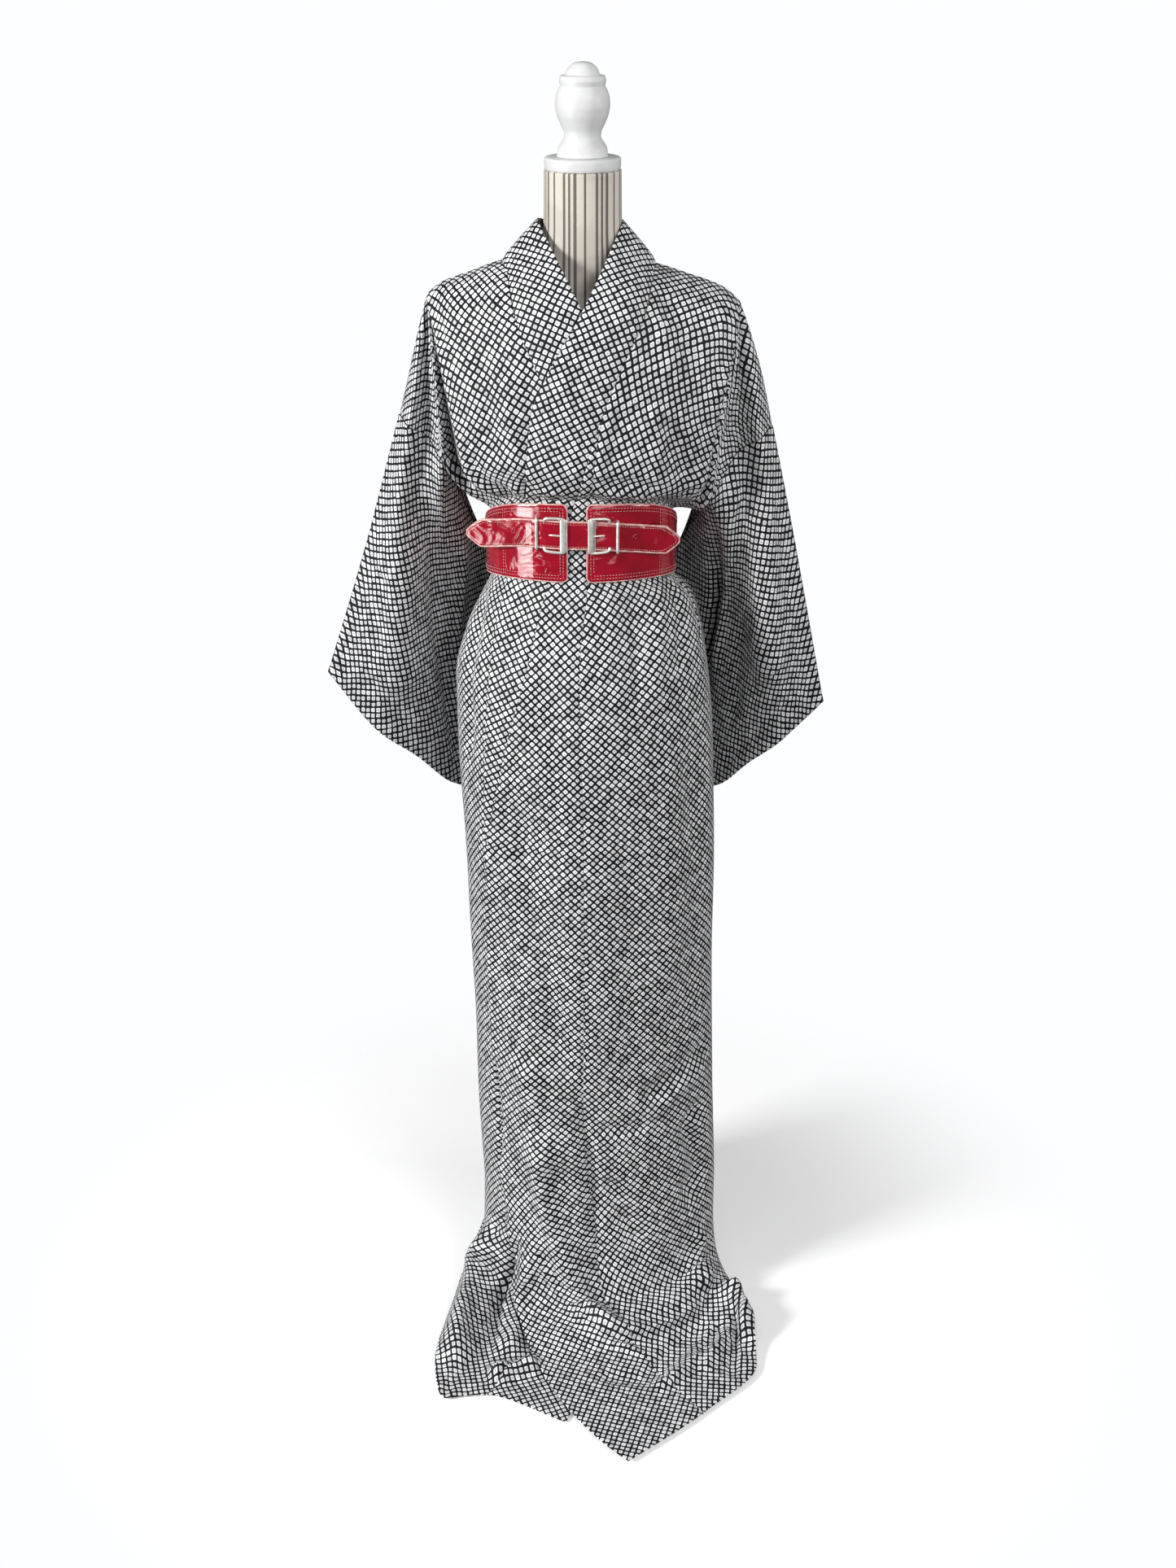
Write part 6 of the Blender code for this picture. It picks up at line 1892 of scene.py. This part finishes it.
@dataclass
class DressForm:
    """The limbless form that the kimono rests on: padded torso, neck flange, finial, pole and base."""

    wardrobe: Wardrobe
    base_radius: float = 0.13
    base_thickness: float = 0.02
    pole_radius: float = 0.016
    sections: Rows = (
        (0.7, 0.11, 0.08, 0.082), (0.72, 0.128, 0.094, 0.096), (0.78, 0.14, 0.104, 0.108), (0.85, 0.146, 0.112, 0.12),
        (0.92, 0.13, 0.1, 0.108), (1.0, 0.102, 0.08, 0.082), (1.06, 0.0995, 0.078, 0.079), (1.12, 0.104, 0.081, 0.082),
        (1.18, 0.122, 0.094, 0.09), (1.24, 0.13, 0.094, 0.09), (1.285, 0.142, 0.082, 0.084),
        (1.315, 0.156, 0.064, 0.066), (1.337, 0.159, 0.05, 0.052), (1.352, 0.14, 0.042, 0.044),
        (1.366, 0.108, 0.04, 0.042), (1.38, 0.07, 0.04, 0.043), (1.398, 0.051, 0.042, 0.043),
        (1.425, 0.0445, 0.0435, 0.0435), (1.484, 0.0435, 0.0435, 0.0435),
    )
    finial: Rows = (
        (0.0, 1.598), (0.009, 1.5965), (0.0165, 1.5905), (0.02, 1.584), (0.0245, 1.583), (0.026, 1.578),
        (0.025, 1.5725), (0.027, 1.569), (0.03, 1.56), (0.0305, 1.552), (0.029, 1.543), (0.025, 1.533), (0.021, 1.524),
        (0.0205, 1.5195), (0.0225, 1.515), (0.0255, 1.511), (0.0275, 1.507), (0.028, 1.503), (0.029, 1.4983),
        (0.0, 1.4983),
    )
    flange: Rows = (
        (0.0, 1.498), (0.0395, 1.498), (0.0415, 1.4976), (0.0427, 1.4966), (0.043, 1.495), (0.043, 1.489),
        (0.0425, 1.4862), (0.0415, 1.4845), (0.0, 1.4843),
    )

    def torso(self) -> None:
        """Closed padded torso and neck, in linen cut as one piece for each."""
        keys, values = table(self.sections)
        heights = np.unique(np.concatenate([np.linspace(0.7, 1.3, 80), np.linspace(1.3, 1.484, 60),
                                            [0.702, 0.706]]))
        sizes = hermite(keys, values, heights)
        angle = np.linspace(-math.pi, math.pi, 121)
        x = sizes[:, :1] * np.sin(angle)
        y = -np.where(np.cos(angle) > 0.0, sizes[:, 1:2], sizes[:, 2:3]) * np.cos(angle)
        points = np.stack([x, y, heights[:, None] + 0.0 * x], axis=-1)
        along = run_length(points, axis=1)
        uv = np.stack([along - along[:, 60:61], points[..., 2]], axis=-1)
        numbers = numbered(x.shape)
        faces = grid_quads(numbers)[:, ::-1].tolist() + [numbers[0, :-1].tolist(), numbers[-1, :-1][::-1].tolist()]
        made = make_object("dress_form_torso", points.reshape(-1, 3), faces, uv.reshape(-1, 2))
        self.wardrobe.dress(made, Finish.LINEN, "ticking", "form_torso")

    def build(self) -> None:
        """Build and finish the form."""
        self.torso()
        top = self.sections[0][0] - 0.0003
        foot = self.base_thickness + 0.0003
        for name, node, profile, steps, detail in (
            ("dress_form_finial", "form_finial", self.finial, 96, 90),
            ("dress_form_flange", "form_collar", self.flange, 96, 30),
            ("dress_form_pole", "form_pole", ((0.0, top), (self.pole_radius, top), (self.pole_radius, foot),
                                              (0.0, foot)), 48, 12),
            ("dress_form_base", "form_base",
             ((0.0, self.base_thickness), (self.base_radius - 0.005, self.base_thickness),
              (self.base_radius - 0.0015, self.base_thickness - 0.0015),
              (self.base_radius, self.base_thickness - 0.005), (self.base_radius, 0.0), (0.0, 0.0)), 96, 20),
        ):
            self.wardrobe.dress(lathe(name, profile, steps, detail), Finish.PAINT, "paint", node)


@dataclass
class Studio:
    """Camera, pale floor and soft light."""

    wardrobe: Wardrobe
    camera_place: Place = (0.006, -2.27, 1.76)
    camera_pitch: float = 24.4
    lens: float = 44.84
    sensor: float = 36.0
    floor_half: float = 2.0
    floor_level: float = -0.0006
    lamps: tuple[tuple[str, Place, Place, float, float, bool], ...] = (
        ("key", (-2.8, -1.5, 1.95), (0.0, 0.0, 0.9), 0.8, 122.0, True),
        ("front", (0.9, -3.0, 1.4), (0.1, 0.0, 0.9), 1.2, 13.0, True),
        ("fill", (1.5, -2.3, 2.7), (0.0, 0.0, 1.0), 1.4, 30.0, True),
        ("side", (2.3, -0.9, 1.8), (0.0, 0.0, 1.0), 0.9, 16.0, True),
        ("top", (-0.3, -0.5, 3.4), (0.0, 0.0, 0.9), 1.6, 14.0, True),
        ("strip", (-2.1, -1.36, 0.25), (0.0, 0.0, 0.9), 0.85, 20.0, False),
    )

    def lamp(self, name: str, place: Place, target: Place, size: float, power: float, matt: bool) -> None:
        """A square soft box that faces a target, and lights all surfaces or only glossy ones."""
        light = bpy.data.lights.new(name, "AREA")
        light.shape = "SQUARE"
        light.size = size
        light.energy = power
        holder = bpy.data.objects.new(name, light)
        holder.location = place
        holder.rotation_euler = (Vector(target) - Vector(place)).to_track_quat("-Z", "Y").to_euler()
        holder.visible_diffuse = matt
        bpy.context.scene.collection.objects.link(holder)

    def build(self) -> None:
        """Set up the studio."""
        scene = bpy.context.scene
        camera = bpy.data.cameras.new("camera")
        camera.lens = self.lens
        camera.sensor_width = self.sensor
        camera.sensor_fit = "AUTO"
        holder = bpy.data.objects.new("camera", camera)
        holder.location = self.camera_place
        holder.rotation_euler = (math.radians(90.0 - self.camera_pitch), 0.0, 0.0)
        scene.collection.objects.link(holder)
        scene.camera = holder
        points = np.array([(x * self.floor_half, y * self.floor_half, self.floor_level)
                           for x, y in ((-1.0, -1.0), (1.0, -1.0), (1.0, 1.0), (-1.0, 1.0))])
        floor = make_object("studio_floor", points, [(0, 1, 2, 3)])
        floor.data.materials.append(self.wardrobe.material(Finish.FLOOR))
        floor.visible_glossy = False
        for lamp in self.lamps:
            self.lamp(*lamp)
        world = bpy.data.worlds.new("studio")
        world.use_nodes = True
        tree = Graph(world.node_tree)
        back = world.node_tree.nodes["Background"]
        path = tree.add("LightPath")
        seen = tree.times(path.outputs["Is Camera Ray"], 0.84)
        gloss = tree.times(path.outputs["Is Glossy Ray"], 0.08)
        tree.feed(back.inputs["Color"], (0.985, 0.99, 1.0, 1.0))
        tree.feed(back.inputs["Strength"], tree.minus(tree.plus(0.16, seen), gloss))
        scene.world = world
        scene.view_settings.view_transform = "Standard"


def main() -> None:
    """Build the whole model."""
    logging.basicConfig(level=logging.INFO, format="%(message)s")
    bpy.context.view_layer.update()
    wardrobe = Wardrobe()
    Studio(wardrobe).build()
    DressForm(wardrobe).build()
    Kimono(wardrobe).build()
    Belt(wardrobe).build()


if __name__ == "__main__":
    main()
